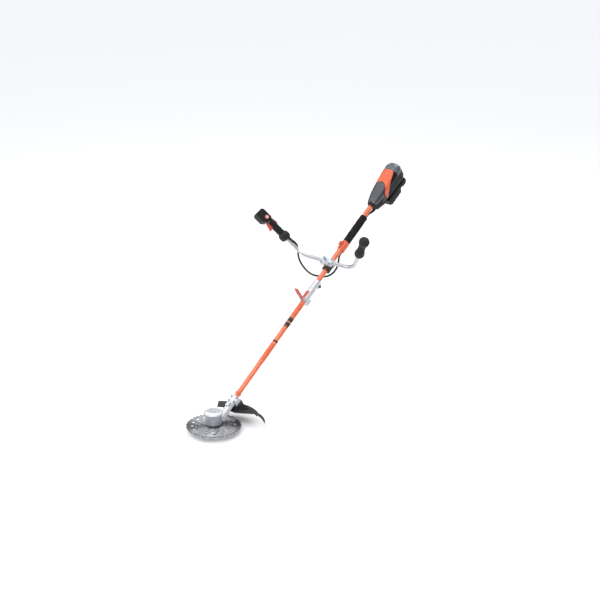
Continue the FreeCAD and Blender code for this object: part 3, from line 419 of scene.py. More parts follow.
# %% Smears and hair scratches in the gloss
def handling_group():
    """Roughness: from Low to High where slow smears are strong, plus a little on hair scratches,
    which are thin bands of a second, stretched noise."""
    tree, given, out = new_group(
        "handling", [("Vector", "Vector", None), ("Scale", "Float", 30.0), ("Low", "Float", 0.3),
                     ("High", "Float", 0.5), ("Scratches", "Float", 0.1)],
        [("Roughness", "Float"), ("Scratch", "Float")])
    smear = add(tree, "TexNoise", {"Vector": given["Vector"], "Scale": given["Scale"], "Detail": 4.0})
    turned = add(tree, "Mapping", {"Vector": given["Vector"], "Rotation": (0.6, 0.3, 0.9),
                                   "Scale": (320.0, 9.0, 320.0)}).outputs[0]
    thin = add(tree, "TexNoise", {"Vector": turned, "Scale": 1.0, "Detail": 1.0})
    scratch = math(tree, "MULTIPLY", ramped(tree, thin.outputs[0], 0.68, 0.74), given["Scratches"])
    span = math(tree, "SUBTRACT", given["High"], given["Low"])
    share = math(tree, "MULTIPLY", ramped(tree, smear.outputs[0], 0.35, 0.68), span)
    base = math(tree, "ADD", given["Low"], share)
    tree.links.new(math(tree, "ADD", base, scratch), out["Roughness"])
    tree.links.new(scratch, out["Scratch"])
    return tree


# %% Rounded and worn edges
def edge_group():
    """Normal: the surface's direction averaged over a small radius, which rounds an edge to the
    eye. Wear: how far that turns from the flat direction, broken up by noise."""
    tree, given, out = new_group(
        "soft_edges", [("Vector", "Vector", None), ("Radius", "Float", 0.0004)],
        [("Normal", "Vector"), ("Wear", "Float")])
    soft = add(tree, "Bevel", {"Radius": given["Radius"]}, samples=4).outputs[0]
    flat = add(tree, "NewGeometry").outputs["Normal"]
    facing = add(tree, "VectorMath", {0: soft, 1: flat}, operation="DOT_PRODUCT").outputs["Value"]
    turned = ramped(tree, facing, 0.995, 0.85)
    patchy = add(tree, "TexNoise", {"Vector": given["Vector"], "Scale": 160.0, "Detail": 3.0})
    broken = ramped(tree, patchy.outputs[0], 0.42, 0.6)
    tree.links.new(soft, out["Normal"])
    tree.links.new(math(tree, "MULTIPLY", turned, broken), out["Wear"])
    return tree


# %% Places along the shaft
def shaft_group():
    """Place: across, height above the shaft's axis, and station, in metres. Each is the dot
    product of the point, less the axis's rise, with one of the shaft's three directions."""
    tree, given, out = new_group("shaft_place", [("Vector", "Vector", None)],
                                 [("Place", "Vector"), ("Across", "Float"), ("Height", "Float"),
                                  ("Station", "Float")])
    lowered = add(tree, "VectorMath", {0: given["Vector"], 1: (0.0, 0.0, AXIS_RISE * MM)},
                  operation="SUBTRACT").outputs[0]
    products = [add(tree, "VectorMath", {0: lowered, 1: direction.tolist()}, operation="DOT_PRODUCT")
                for direction in (ACROSS, UP, ALONG)]
    parts = [product.outputs["Value"] for product in products]
    for label, part in zip(("Across", "Height", "Station"), parts):
        tree.links.new(part, out[label])
    place = add(tree, "CombineXYZ", dict(enumerate(parts))).outputs[0]
    tree.links.new(place, out["Place"])
    return tree


GRAIN, DRIFT, LINES = grain_group(), drift_group(), lines_group()
HANDLING, EDGES, SHAFT_PLACE = handling_group(), edge_group(), shaft_group()
print("groups:", [g.name for g in (GRAIN, DRIFT, LINES, HANDLING, EDGES, SHAFT_PLACE)])


def place_group(tree, group, sockets):
    """A placed group with its named inputs set or linked. It needs its tree before it has inputs."""
    made = add(tree, "Group", node_tree=group)
    for key, value in sockets.items():
        if isinstance(value, bpy.types.NodeSocket):
            tree.links.new(value, made.inputs[key])
        else:
            made.inputs[key].default_value = value
    return made


# %% [markdown]
# ## The finish that most parts start from
#
# Plastics, rubbers, paints and cast metals differ in colour, gloss and grain but are built up in the
# same order. One function lays them down: a drifting colour, thinner at worn edges, a gloss changed
# by handling, and a grain on top of softened edges. Special finishes add to what it returns.

# %% The common finish
finishes = {}


def finish(name, colour, other, gloss, grain=(900.0, 0.5, 0.00003), patches=25.0, edge=0.0004,
           worn=None, scratches=0.08, **plain):
    """A finish from two close colours, the lowest and highest roughness, and a grain given as its
    scale, its share of cells and its depth in metres. Plain settings go straight to the shader."""
    material = bpy.data.materials.new(name)
    material.use_nodes = True
    tree = material.node_tree
    shader = tree.nodes["Principled BSDF"]
    place = add(tree, "TexCoord").outputs["Object"]
    drift = place_group(tree, DRIFT, {"Vector": place, "Scale": patches, "Colour": colour, "Other": other})
    handling = place_group(tree, HANDLING, {"Vector": place, "Scale": patches * 1.7, "Low": gloss[0],
                                            "High": gloss[1], "Scratches": scratches})
    edges = place_group(tree, EDGES, {"Vector": place, "Radius": edge})
    height = place_group(tree, GRAIN, {"Vector": place, "Scale": grain[0], "Cells": grain[1]})
    seen = drift.outputs["Colour"]
    if worn is not None:
        seen = mixed(tree, edges.outputs["Wear"], seen, worn)
    bump = add(tree, "Bump", {"Height": height.outputs[0], "Strength": 1.0, "Distance": grain[2],
                              "Normal": edges.outputs["Normal"]})
    tree.links.new(seen, shader.inputs["Base Color"])
    tree.links.new(handling.outputs["Roughness"], shader.inputs["Roughness"])
    tree.links.new(bump.outputs[0], shader.inputs["Normal"])
    for label, value in plain.items():
        shader.inputs[label.replace("_", " ")].default_value = value
    finishes[name] = material
    return {"tree": tree, "shader": shader, "place": place, "colour": seen, "bump": bump,
            "rough": handling.outputs["Roughness"], "height": height.outputs[0]}


def repaint(parts, colour):
    """Send another colour to the shader of a finish, and remember it as the finish's own."""
    parts["tree"].links.new(colour, parts["shader"].inputs["Base Color"])
    parts["colour"] = colour


def add_relief(parts, height, depth):
    """Another bump on top of a finish's own."""
    over = add(parts["tree"], "Bump", {"Height": height, "Strength": 1.0, "Distance": depth,
                                       "Normal": parts["bump"].outputs[0]})
    parts["tree"].links.new(over.outputs[0], parts["shader"].inputs["Normal"])
    parts["bump"] = over


def stripe(tree, value, middle, half, soft):
    """1 where the value is within half of the middle, falling to 0 over the soft distance."""
    away = math(tree, "ABSOLUTE", math(tree, "SUBTRACT", value, middle))
    return ramped(tree, away, half + soft, half)


# %% [markdown]
# ## Paints, sleeves and plastics
#
# The tubes are sprayed a clear warm orange with a hard gloss, over a metal that shows a faint
# orange-peel ripple. The printed sleeves round them are film, less glossy, with thin border lines in
# place of any lettering. The covers are moulded plastic with a fine spark-eroded grain.

# %% Orange paint and the sleeves on the tubes
ORANGE, DEEP_ORANGE = tint(230, 120, 80), tint(221, 106, 67)
finish("orange_tube", ORANGE, DEEP_ORANGE, (0.16, 0.3), (260.0, 0.0, 0.00004), 14.0,
       scratches=0.12, Coat_Weight=0.6, Coat_Roughness=0.08, IOR=1.5)
FILM_GRAIN = (700.0, 0.2, 0.00002)
sleeve = finish("orange_sleeve", tint(224, 104, 66), tint(214, 92, 56), (0.4, 0.55), FILM_GRAIN, 30.0)
dark_band = finish("dark_sleeve", tint(50, 30, 27), tint(36, 23, 22), (0.32, 0.46), FILM_GRAIN, 30.0)
SLEEVE_LINES = [(0.396, 0.0008), (0.5035, 0.0008), (0.6655, 0.0008), (0.7445, 0.0008)]
BAND_LINES = [(0.6085, 0.0009), (0.6545, 0.0009), (0.6315, 0.0035)]    # station and half width
for parts, pale, lines in ((sleeve, tint(238, 176, 150), SLEEVE_LINES),
                           (dark_band, tint(196, 120, 96), BAND_LINES)):
    tree = parts["tree"]
    station = place_group(tree, SHAFT_PLACE, {"Vector": parts["place"]}).outputs["Station"]
    for middle, half in lines:
        repaint(parts, mixed(tree, stripe(tree, station, middle, half, 0.0003), parts["colour"], pale))
print("tube finishes", list(finishes))

# %% Moulded plastics
finish("black_plastic", tint(22, 23, 23), tint(14, 15, 15), (0.34, 0.5), (1100.0, 0.7, 0.00004),
       worn=tint(74, 75, 76), Specular_IOR_Level=0.26)
finish("dark_plastic", tint(32, 36, 37), tint(22, 25, 27), (0.3, 0.45), (1100.0, 0.7, 0.00004),
       worn=tint(88, 92, 96), Specular_IOR_Level=0.3)
finish("grey_plastic", tint(62, 64, 75), tint(46, 49, 58), (0.22, 0.34), (600.0, 0.1, 0.00001), edge=0.001,
       scratches=0.0, Coat_Weight=0.7, Coat_Roughness=0.16, IOR=1.5)
finish("battery_plastic", tint(34, 31, 28), tint(15, 17, 18), (0.36, 0.55), (900.0, 0.8, 0.00005), 60.0,
       worn=tint(78, 78, 76), Specular_IOR_Level=0.26)
finish("guard_plastic", tint(60, 60, 61), tint(43, 43, 45), (0.34, 0.54), (800.0, 0.6, 0.00004), 12.0,
       worn=tint(112, 112, 114), scratches=0.16, Specular_IOR_Level=0.34)
# the cover's finish, the second of these two, gets its painted arch shadow below
for name in ("orange_plastic", "cover_plastic"):
    cover = finish(name, tint(228, 100, 58), tint(218, 88, 50), (0.26, 0.4), (900.0, 0.5, 0.00002),
                   worn=tint(242, 150, 112), Coat_Weight=0.25, Coat_Roughness=0.15)
rear = finish("cap_plastic", tint(50, 55, 60), tint(38, 42, 47), (0.24, 0.38), (900.0, 0.5, 0.00002),
              worn=tint(120, 128, 134), Coat_Weight=0.5, Coat_Roughness=0.2)
finish("red_plastic", tint(196, 78, 64), tint(182, 66, 56), (0.3, 0.44), (900.0, 0.5, 0.00002),
       worn=tint(228, 126, 104))
finish("light_button", tint(214, 220, 214), tint(198, 206, 202), (0.25, 0.35), (500.0, 0.2, 0.00001))
print("plastic finishes", len(finishes))

# %% [markdown]
# ## The housing's painted arch shadow and its ribbed cap
#
# The orange cover has a step where it meets the round front tongue, and the shadow at that step is
# painted on as a dark maroon band. Seen from above the tongue ends in half an ellipse, so the step is
# where the ellipse's own sum of squares is just over one, and all of the cover on the tongue's side of
# it is painted dark as shade. The cap behind the cover is ribbed across: a sine of the station raises
# the ribs and paints a pale highlight on them.

# %% The painted shadow at the cover's arch, and the cap's ribs with painted highlights
TONGUE_HALF, TONGUE_LONG, TONGUE_WIDEST = 34.0 * MM, 50.0 * MM, 1451.0 * MM
RIB_PITCH = 9.0 * MM
tree = cover["tree"]
shaft = place_group(tree, SHAFT_PLACE, {"Vector": cover["place"]})
beyond = math(tree, "SUBTRACT", shaft.outputs["Station"], TONGUE_WIDEST)
squares = [math(tree, "POWER", math(tree, "ABSOLUTE", math(tree, "DIVIDE", distance, half)), 2.0)
           for distance, half in ((shaft.outputs["Across"], TONGUE_HALF), (beyond, TONGUE_LONG))]
arch_shadow = ramped(tree, math(tree, "ADD", *squares), 1.24, 1.17)
# painted shadow: the cover next to the tongue's arch is painted dark maroon as the step's shade
repaint(cover, mixed(tree, arch_shadow, cover["colour"], tint(44, 16, 13)))
tree = rear["tree"]
station = place_group(tree, SHAFT_PLACE, {"Vector": rear["place"]}).outputs["Station"]
wave = math(tree, "SINE", math(tree, "MULTIPLY", station, 2 * np.pi / RIB_PITCH))
rib_and_highlight = ramped(tree, wave, -0.4, 0.5)
# painted highlight: the ribs' tops are painted a pale bluish grey, on top of their real raised relief
repaint(rear, mixed(tree, rib_and_highlight, rear["colour"], tint(112, 124, 130)))
add_relief(rear, rib_and_highlight, 0.0009)
print("nodes in the cover's finish", len(cover["tree"].nodes), "and in the cap's", len(tree.nodes))

# %% [markdown]
# ## Rubber, foam and flex
#
# Rubber is matt with a faint bloom. The foam sleeve is closed-cell foam: a dull black full of small
# open pores whose hollows are painted darker as shade, so its colour and its bump share one cell
# pattern, and a few specks of painted glint stand for pores that catch the light.

# %% Rubber, foam and flex
finish("brown_rubber", tint(64, 42, 36), tint(50, 33, 29), (0.55, 0.72), (700.0, 0.6, 0.00005))
finish("grip_rubber", tint(29, 31, 30), tint(20, 22, 21), (0.46, 0.62), (1300.0, 0.8, 0.00005), edge=0.0007,
       Specular_IOR_Level=0.32)
finish("cable_rubber", tint(20, 20, 21), tint(13, 13, 14), (0.34, 0.5), (1500.0, 0.3, 0.00002),
       Specular_IOR_Level=0.3)
foam = finish("black_foam", tint(30, 27, 26), tint(20, 18, 17), (0.82, 0.95), (1500.0, 0.4, 0.0001), 45.0,
              edge=0.0015, Specular_IOR_Level=0.2)
tree = foam["tree"]
pores = add(tree, "TexVoronoi", {"Vector": foam["place"], "Scale": 420.0, "Randomness": 1.0})
pore_depth_and_shade = ramped(tree, pores.outputs["Distance"], 0.42, 0.1)
painted_glint_noise = add(tree, "TexNoise", {"Vector": foam["place"], "Scale": 900.0, "Detail": 1.0})
painted_glint = ramped(tree, painted_glint_noise.outputs[0], 0.63, 0.7)
# painted shade: the pores' hollows are painted near black, on top of their real relief added below
repaint(foam, mixed(tree, pore_depth_and_shade, foam["colour"], tint(10, 9, 9)))
# painted glint: a few specks are painted pale where pores would catch the light
repaint(foam, mixed(tree, painted_glint, foam["colour"], tint(92, 84, 78)))
add_relief(foam, math(tree, "SUBTRACT", 1.0, pore_depth_and_shade), 0.0004)
print("soft finishes", len(finishes))

# %% [markdown]
# ## Metals
#
# The head and the clamps are die-cast aluminium under silver paint, the handlebar is anodised tube
# with drawn lines, the bolts are zinc plated with a blue cast, and the blade is ground in circles,
# which gives it bright and dark fans that turn with the light. Its tips are darker carbide.

# %% Cast, drawn, plated and plain metals
finish("cast_silver", tint(212, 213, 216), tint(196, 198, 203), (0.36, 0.48), (500.0, 0.6, 0.00006), 30.0,
       edge=0.0008, worn=tint(236, 237, 239), Metallic=0.45)
bar = finish("silver_tube", tint(206, 207, 209), tint(190, 191, 195), (0.26, 0.36),
             (900.0, 0.0, 0.000004), 18.0, edge=0.003, Metallic=0.8)
finish("zinc_steel", tint(156, 170, 188), tint(134, 150, 170), (0.26, 0.4), (700.0, 0.5, 0.00002), 120.0,
       edge=0.0003, worn=tint(226, 230, 236), Metallic=0.85)
finish("spring_steel", tint(196, 196, 200), tint(176, 176, 182), (0.22, 0.36), (900.0, 0.2, 0.00001), 90.0,
       Metallic=1.0)
finish("black_steel", tint(44, 44, 49), tint(32, 32, 37), (0.28, 0.44), (700.0, 0.5, 0.00002), 80.0,
       worn=tint(150, 150, 156), Metallic=0.6)
finish("carbide", tint(112, 112, 116), tint(86, 86, 92), (0.3, 0.46), (2500.0, 0.6, 0.00001), 200.0,
       edge=0.0002, worn=tint(190, 190, 194), Metallic=0.9)
finish("bare_aluminium", tint(206, 207, 210), tint(190, 192, 196), (0.26, 0.4),
       (1000.0, 0.1, 0.00001), 40.0, Metallic=1.0)
drawn = place_group(bar["tree"], LINES, {"Vector": bar["place"], "Count": 1400.0, "Length": 2.5})
add_relief(bar, drawn.outputs[0], 0.000012)
finish("motor_silver", tint(160, 160, 167), tint(142, 142, 150), (0.3, 0.42), (500.0, 0.6, 0.00004), 22.0,
       edge=0.0010, worn=tint(214, 215, 220), Metallic=0.7)
finish("lid_silver", tint(214, 215, 220), tint(200, 201, 207), (0.26, 0.36), (500.0, 0.6, 0.00003), 22.0,
       edge=0.0010, worn=tint(240, 240, 243), Metallic=0.35)
print("metal finishes", len(finishes))

# %% The ground blade
# A quarter turn of the stretched highlight makes it run from the middle to the rim.
blade = finish("blade_steel", tint(206, 207, 210), tint(186, 187, 192), (0.34, 0.42),
               (600.0, 0.2, 0.000004), 14.0, edge=0.0002, worn=tint(224, 225, 228), Metallic=1.0,
               Anisotropic=0.95, Anisotropic_Rotation=0.25)
SHADED_RIM, RIM_HALF, RIM_SOFT = 0.1235, 0.0022, 0.0035
HOLDER_RADIUS = 0.036
tree = blade["tree"]
flat_place = add(tree, "VectorMath", {0: blade["place"], 1: (1.0, 1.0, 0.0)},
                 operation="MULTIPLY").outputs[0]
radius = add(tree, "VectorMath", {0: flat_place}, operation="LENGTH").outputs["Value"]
rings = add(tree, "TexNoise", {"W": radius, "Scale": 2600.0, "Detail": 3.0}, noise_dimensions="1D")
add_relief(blade, rings.outputs[0], 0.000006)
# painted shade: a dark grey band just inside the rim stands in for the dark reflection the rim shows
rim_shade = stripe(tree, radius, SHADED_RIM, RIM_HALF, RIM_SOFT)
repaint(blade, mixed(tree, math(tree, "MULTIPLY", rim_shade, 0.6), blade["colour"], tint(70, 70, 76)))
# painted shadow: the blade inside the holder's radius, under the motor can, is painted a darker grey
centre_shade = stripe(tree, radius, 0.0, HOLDER_RADIUS, 0.001)
repaint(blade, mixed(tree, centre_shade, blade["colour"], tint(150, 152, 160)))
tangent = add(tree, "Tangent", direction_type="RADIAL", axis="Z")
tree.links.new(tangent.outputs[0], blade["shader"].inputs["Tangent"])
print("nodes in the blade's finish", len(tree.nodes))

# %% The controller's circuit board
BLACK, WHITE = tint(0, 0, 0), tint(255, 255, 255)
board = finish("circuit_board", tint(34, 88, 58), tint(28, 74, 50), (0.3, 0.4), (900.0, 0.2, 0.00001), 60.0)
tree = board["tree"]
tracks = add(tree, "TexBrick", {"Vector": board["place"], "Scale": 120.0, "Mortar Size": 0.03,
                                "Color1": BLACK, "Color2": BLACK, "Mortar": WHITE})
dots = add(tree, "TexVoronoi", {"Vector": board["place"], "Scale": 260.0})
pads = ramped(tree, dots.outputs["Distance"], 0.2, 0.14)
repaint(board, mixed(tree, tracks.outputs["Fac"], board["colour"], tint(52, 116, 78)))
repaint(board, mixed(tree, pads, board["colour"], tint(206, 196, 160)))
print("all finishes", len(finishes))

# %% [markdown]
# ## Giving the parts their finishes
#
# The model's own record says which finish each part takes. Parts that keep their exact shape get
# the finish straight on their object.

# %% Giving the parts their finishes
slot_of = {row["node"]: row["material_slot"] for row in record["subparts"]}


def give_finish(piece, slot):
    """Put a finish in every material slot of an object, or in a new one."""
    if not piece.material_slots:
        piece.data.materials.append(finishes[slot])
    for holder in piece.material_slots:
        holder.material = finishes[slot]


for name, slot in slot_of.items():
    give_finish(nodes[name], slot)
for name, own in (("motor_can", "motor_silver"), ("motor_lid", "lid_silver"),
                  ("top_cover", "cover_plastic"), ("rear_cap", "cap_plastic")):
    give_finish(nodes[name], own)

print("parts per finish", {s: list(slot_of.values()).count(s) for s in finishes})

# %% [markdown]
# ## The handlebar's own directions
#
# The handlebar lies in a plane that leans back ten degrees from square to the shaft. Both grips are
# easiest to draw upright and then carried onto their rising arm, so a place in a grip is given by how
# far it is towards the bar's inner side, towards the operator, and up along the arm.

# %% The handlebar's directions
PLANE_LEAN = LEAN - np.radians(10.0)
CLIMB = np.array([0.0, -np.sin(PLANE_LEAN), np.cos(PLANE_LEAN)])
TO_OPERATOR = np.array([0.0, np.cos(PLANE_LEAN), np.sin(PLANE_LEAN)])
BAR_MIDDLE = on_shaft([0.0, 26.0, 993.0])


def arm(corner, angle, distance):
    """The foot of a grip and its three directions. The foot is the bar's middle, plus the corner's
    distance across, plus the distance along the arm, which is the cosine of its angle across and
    the sine of it up the plane."""
    angle = np.radians(angle)
    along = np.cos(angle) * ACROSS + np.sin(angle) * CLIMB
    foot = BAR_MIDDLE + (corner * ACROSS + distance * along) * MM
    return foot, np.array([np.cross(TO_OPERATOR, along), TO_OPERATOR, along])


LEFT_ARM, RIGHT_ARM = arm(156.0, 57.9, 139.0), arm(-151.0, 131.4, 126.0)


def in_grip(side, places):
    """Room points of places given as inner, towards the operator and along the arm, in mm."""
    foot, directions = side
    return foot + np.asarray(places, float) @ directions * MM


print("left grip at", LEFT_ARM[0].round(4), "control grip at", RIGHT_ARM[0].round(4))

# %% [markdown]
# ## The left grip
#
# The left hand holds a rubber grip with a ball at its foot, a waist for the palm and a disc on top.
# It is turned in one piece: the outline of its radius against its length is smoothed, then pushed
# out along its own normal in fine rings, close together on the waist and wider on the disc.

# %% The left grip
def smooth_outline(corners, steps, passes):
    """Evenly spaced points along the corners' outline, averaged with their neighbours a number of
    times, which rounds every corner by about the same amount."""
    corners = np.asarray(corners, float)
    gone = np.r_[0.0, np.cumsum(np.linalg.norm(np.diff(corners, axis=0), axis=1))]
    wanted = np.linspace(0.0, gone[-1], steps)
    points = np.stack([np.interp(wanted, gone, corners[:, k]) for k in range(2)], 1)
    for _ in range(passes):
        points[1:-1] = (points[:-2] + 2 * points[1:-1] + points[2:]) / 4
    return points, wanted


def turned_grid(side, outline, columns):
    """A grid round an arm: each outline point's radius times the cosine and the sine of the angle
    give the two directions square to the arm, and its length runs along it."""
    angle = np.linspace(0, 2 * np.pi, columns, endpoint=False)
    radius, along = outline[:, 0][:, None], outline[:, 1][:, None]
    places = np.stack([radius * np.cos(angle), radius * np.sin(angle), along + 0 * angle], 2)
    return in_grip(side, places)


def ringed(outline, gone, zones):
    """The outline moved along its normal by a rounded wave, strongest inside each zone, which is
    (from, to, spacing, height) with from and to as lengths along the arm."""
    ahead = np.gradient(outline, axis=0)
    ahead /= np.linalg.norm(ahead, axis=1, keepdims=True)
    normal = np.stack([ahead[:, 1], -ahead[:, 0]], 1)
    moved = np.zeros(len(outline))
    for start, end, spacing, height in zones:
        inside = np.clip(np.minimum(outline[:, 1] - start, end - outline[:, 1]) / 3.0, 0.0, 1.0)
        moved += inside * height * (0.5 + 0.5 * np.cos(2 * np.pi * gone / spacing))
    return outline + normal * moved[:, None]


grip_corners = [(9.5, -24), (14, -24), (19.5, -17), (23, -7), (23.5, 1), (21.5, 11), (18.2, 21), (16.8, 34),
                (16.4, 50), (17, 64), (19, 76), (22.8, 84), (24.5, 92), (24.5, 99), (22, 107), (16, 113),
                (8, 115.5), (0.4, 116)]
grip_outline, grip_gone = smooth_outline(grip_corners, 420, 24)
ring_zones = [(20, 76, 3.6, 0.8), (96, 116, 3.9, 0.7), (-16, 6, 4.5, 0.4)]
grip_outline = ringed(grip_outline, grip_gone, ring_zones)
left_grip = make_piece("left_grip_rubber", [(turned_grid(LEFT_ARM, grip_outline, 72), False, True)])
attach(left_grip, "handlebar")
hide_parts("left_grip")
give_finish(left_grip, "grip_rubber")

# %% [markdown]
# ## The knob at the foot of the control grip
#
# Below the round part of the control grip sits a thick rubber knob that keeps the hand off the bar
# and takes in the cable. It is turned like the left grip, then its radius swells and shrinks six
# times round by a cosine, which gives it six soft lobes.

# %% The knob at the foot of the control grip
KNOB_LOBES, LOBE_DEPTH, KNOB_COLUMNS = 6, 0.06, 120
knob_corners = [(10.0, -21), (15, -21), (21.5, -17), (25, -9), (25.6, 0), (25, 9), (21.5, 16), (17.5, 19.5),
                (13.3, 20)]
knob_outline, _ = smooth_outline(knob_corners, 90, 10)
knob_grid = turned_grid(RIGHT_ARM, knob_outline, KNOB_COLUMNS)
knob_axis = in_grip(RIGHT_ARM, knob_outline[:, 1:] * [0.0, 0.0, 1.0])[:, None]
knob_turn = np.linspace(0, 2 * np.pi, KNOB_COLUMNS, endpoint=False)[None, :, None]
swelling = 1.0 + LOBE_DEPTH * (np.cos(KNOB_LOBES * knob_turn) - 0.2)
knob_grid = knob_axis + (knob_grid - knob_axis) * swelling
grip_knob = make_piece("grip_knob", [(knob_grid, False, True)])
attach(grip_knob, "handlebar")
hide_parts("grip_flange")
give_finish(grip_knob, slot_of["grip_flange"])

# %% [markdown]
# ## The ring round the power button
#
# The light button on the control grip's inner side sits in a raised orange ring that tells the
# thumb where it is. The ring is a rounded band turned round the button's own axis.

# %% The ring round the power button
def ring_grid(side, centre, radius, wide, tall, columns=64, rows=20):
    """A closed ring about the inner direction: round a rounded band whose half width and height
    are the cosine and the sine of one angle, carried round by a second angle."""
    turn = np.linspace(0, 2 * np.pi, columns, endpoint=False)[None, :]
    band = np.linspace(0, 2 * np.pi, rows, endpoint=False)[:, None]
    soft_cos = np.sign(np.cos(band)) * np.abs(np.cos(band)) ** 0.6
    soft_sin = np.sign(np.sin(band)) * np.abs(np.sin(band)) ** 0.6
    reach = radius + wide * soft_cos
    places = np.stack([centre[0] + tall * soft_sin + 0 * turn, centre[1] + reach * np.cos(turn),
                       centre[2] + reach * np.sin(turn)], 2)
    return in_grip(side, places)


button_grid = ring_grid(RIGHT_ARM, (21.2, -6, 124), 8.6, 2.1, 1.3)
button_ring = make_piece("button_ring", [(button_grid, True, False)])
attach(button_ring, "handlebar")
give_finish(button_ring, "orange_plastic")

# %% [markdown]
# ## Ribs on the control grip
#
# The operator's palm and fingers bear on the round part of the control grip. Rows of shallow rubber
# ribs are moulded over it, each a short arc that rises and falls at its ends.

# %% Ribs on the control grip
RIB_REACH, RIB_WIDE, RIB_TALL = 17.4, 1.1, 1.0      # mm: from the arm's axis, half width, height


def rib_grid(side, along, start, end, steps=40):
    """A bar that follows an arc round the arm. Across the arc it is half an ellipse, wide along the
    arm and tall outwards, and both shrink to nothing by a sine at the arc's two ends."""
    turn = np.radians(np.linspace(start, end, steps))[:, None]
    band = np.linspace(0, 2 * np.pi, 10, endpoint=False)[None, :]
    swell = np.sqrt(np.sin(np.linspace(0.02, np.pi - 0.02, steps)))[:, None]
    reach = RIB_REACH + RIB_TALL * swell * np.sin(band)
    length = along + RIB_WIDE * swell * np.cos(band)
    return in_grip(side, np.stack([reach * np.cos(turn), reach * np.sin(turn), length + 0 * turn], 2))


rib_places = np.arange(24.0, 56.0, 4.2)
palm_ribs = make_piece("palm_ribs", [
    (rib_grid(RIGHT_ARM, along, start, end), False, True)
    for along in rib_places for start, end in ((25, 155), (205, 335))])
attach(palm_ribs, "handlebar")
give_finish(palm_ribs, "grip_rubber")

# %% [markdown]
# ## The foam sleeve
#
# The left hand carries the machine by a thick foam sleeve pushed over the tube and the cable. Foam
# bulges a little between its ends, rolls in at its rims, stands up over the cable below and never
# stays perfectly round, so slow waves run over it.

# %% The foam sleeve
FOAM_START, FOAM_END, FOAM_RADIUS, FOAM_CENTRE = 1141.6, 1310.0, 18.0, -4.6


def foam_grid(rows=150, columns=96):
    """Rings along the shaft: the sleeve's radius, rolled in near both ends as a quarter circle is,
    plus a slow bulge, plus small waves, plus a ridge below where the cosine of the angle from
    straight down is near one."""
    share = np.linspace(0.0, 1.0, rows)[:, None]
    angle = np.linspace(0, 2 * np.pi, columns, endpoint=False)[None, :]
    station = FOAM_START + (FOAM_END - FOAM_START) * share
    near_end = np.clip(np.minimum(station - FOAM_START, FOAM_END - station) / 5.0, 0.0, 1.0)
    roll = 4.0 * (1.0 - np.sqrt(1.0 - (1.0 - near_end) ** 2))
    waves = 0.25 * np.sin(9 * share * np.pi + 2 * angle) + 0.18 * np.sin(23 * share + 3 * angle + 1.0)
    ridge = 0.7 * np.exp(-((np.mod(angle + np.pi / 2 + np.pi, 2 * np.pi) - np.pi) / 0.35) ** 2)
    radius = FOAM_RADIUS - roll + (0.5 * np.sin(np.pi * share) + waves + ridge) * np.sqrt(near_end)
    height = FOAM_CENTRE + radius * np.sin(angle)
    return on_shaft(np.stack([radius * np.cos(angle), height, station + 0 * angle], 2))


foam_sleeve = make_piece("foam_sleeve_soft", [(foam_grid(), False, True)])
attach(foam_sleeve, "upper_shaft")
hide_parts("foam_sleeve")
give_finish(foam_sleeve, "black_foam")

# %% [markdown]
# ## The tube's mouth in the housing
#
# A dark red rubber ring seals the gap where the tube enters the rear housing, with a thinner ring in
# front of it. Both are narrow rounded bands. The cable and its boots take their finish here too.

# %% The ring round the tube at the housing
def shaft_ring(station, radius, wide, tall, columns=72, rows=20):
    """A closed ring round the shaft: a rounded band, tall outwards and wide along the shaft."""
    turn = np.linspace(0, 2 * np.pi, columns, endpoint=False)[None, :]
    band = np.linspace(0, 2 * np.pi, rows, endpoint=False)[:, None]
    reach = radius + tall * np.sign(np.cos(band)) * np.abs(np.cos(band)) ** 0.6
    length = station + wide * np.sign(np.sin(band)) * np.abs(np.sin(band)) ** 0.6
    return on_shaft(np.stack([reach * np.cos(turn), reach * np.sin(turn), length + 0 * turn], 2))


tube_seal = make_piece("tube_seal", [(shaft_ring(1376.5, 14.6, 2.6, 2.6), True, False),
                                     (shaft_ring(1372.6, 13.2, 1.6, 1.2), True, False)])
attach(tube_seal, "upper_shaft")
give_finish(tube_seal, "brown_rubber")
for piece in (control_cable, grip_boot, house_boot):
    give_finish(piece, "cable_rubber")

# %% [markdown]
# ## Light and floor
#
# The machine stands on a plain, almost white floor between three large soft lamps. The surround is
# dim near the ground and bright overhead, so that the dark plastics keep a soft sheen, the silver
# parts stay darker at their sides and the tubes carry one long highlight.

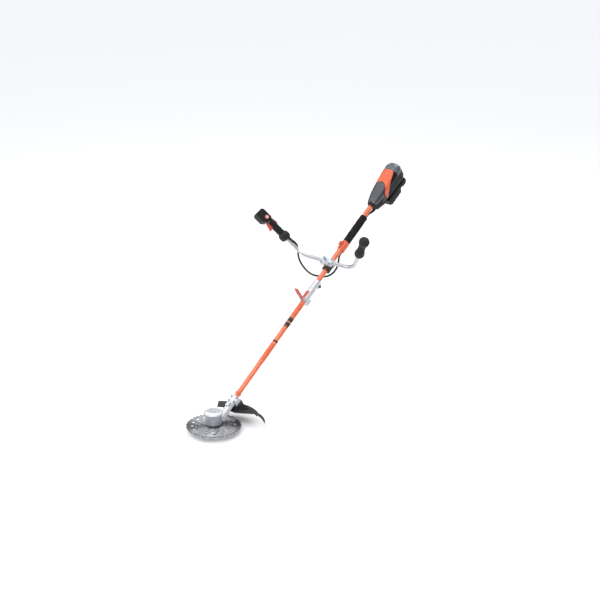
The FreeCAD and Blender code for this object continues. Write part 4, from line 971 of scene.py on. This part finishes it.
# %% Light and floor
def lamp(name, place, aim, size, watts, colour):
    """A square lamp of that size at a place, turned so its face looks at the aim."""
    data = bpy.data.lights.new(name, "AREA")
    data.energy, data.size, data.color = watts, size, colour
    made = bpy.data.objects.new(name, data)
    bpy.context.scene.collection.objects.link(made)
    back = np.subtract(place, aim)
    back = back / np.linalg.norm(back)
    right = np.cross([0.0, 0.0, 1.0], back)
    right /= np.linalg.norm(right)
    matrix = np.eye(4)
    matrix[:3, 0], matrix[:3, 1], matrix[:3, 2] = right, np.cross(back, right), back
    matrix[:3, 3] = place
    made.matrix_world = Matrix(matrix)
    return made


def plain_finish(name, colour, roughness):
    material = bpy.data.materials.new(name)
    material.use_nodes = True
    shader = material.node_tree.nodes["Principled BSDF"]
    shader.inputs["Base Color"].default_value = (*colour, 1.0)
    shader.inputs["Roughness"].default_value = roughness
    return material


MIDDLE = (0.0, 0.7, 0.45)            # the point that every lamp looks at
lamp("key_lamp", (1.2, -2.0, 3.0), MIDDLE, 1.6, 56.0, (1.0, 0.99, 0.97))
lamp("fill_lamp", (-2.8, -0.5, 2.0), MIDDLE, 1.4, 26.0, (0.97, 0.98, 1.0))
lamp("back_lamp", (-0.4, 3.4, 2.8), MIDDLE, 1.6, 18.0, (1.0, 1.0, 1.0))
world = bpy.data.worlds.new("studio")
world.use_nodes = True
room = world.node_tree
upwards = add(room, "SeparateXYZ", {0: add(room, "TexCoord").outputs["Generated"]}).outputs["Z"]
dim = ramped(room, upwards, 0.02, 0.5, 0.06, 0.3)
overhead = ramped(room, upwards, 0.55, 0.85, 0.0, 1.5)
room.links.new(math(room, "ADD", dim, overhead), room.nodes["Background"].inputs["Strength"])
room.nodes["Background"].inputs["Color"].default_value = (0.96, 0.97, 1.0, 1.0)
bpy.context.scene.world = world
bpy.context.scene.view_settings.view_transform = "Standard"

bpy.ops.mesh.primitive_plane_add(size=60.0, location=(0.0, 0.0, -0.001))
floor = bpy.context.object
floor.name = "floor"
floor.data.materials.append(plain_finish("floor_white", (0.93, 0.93, 0.93), 0.85))
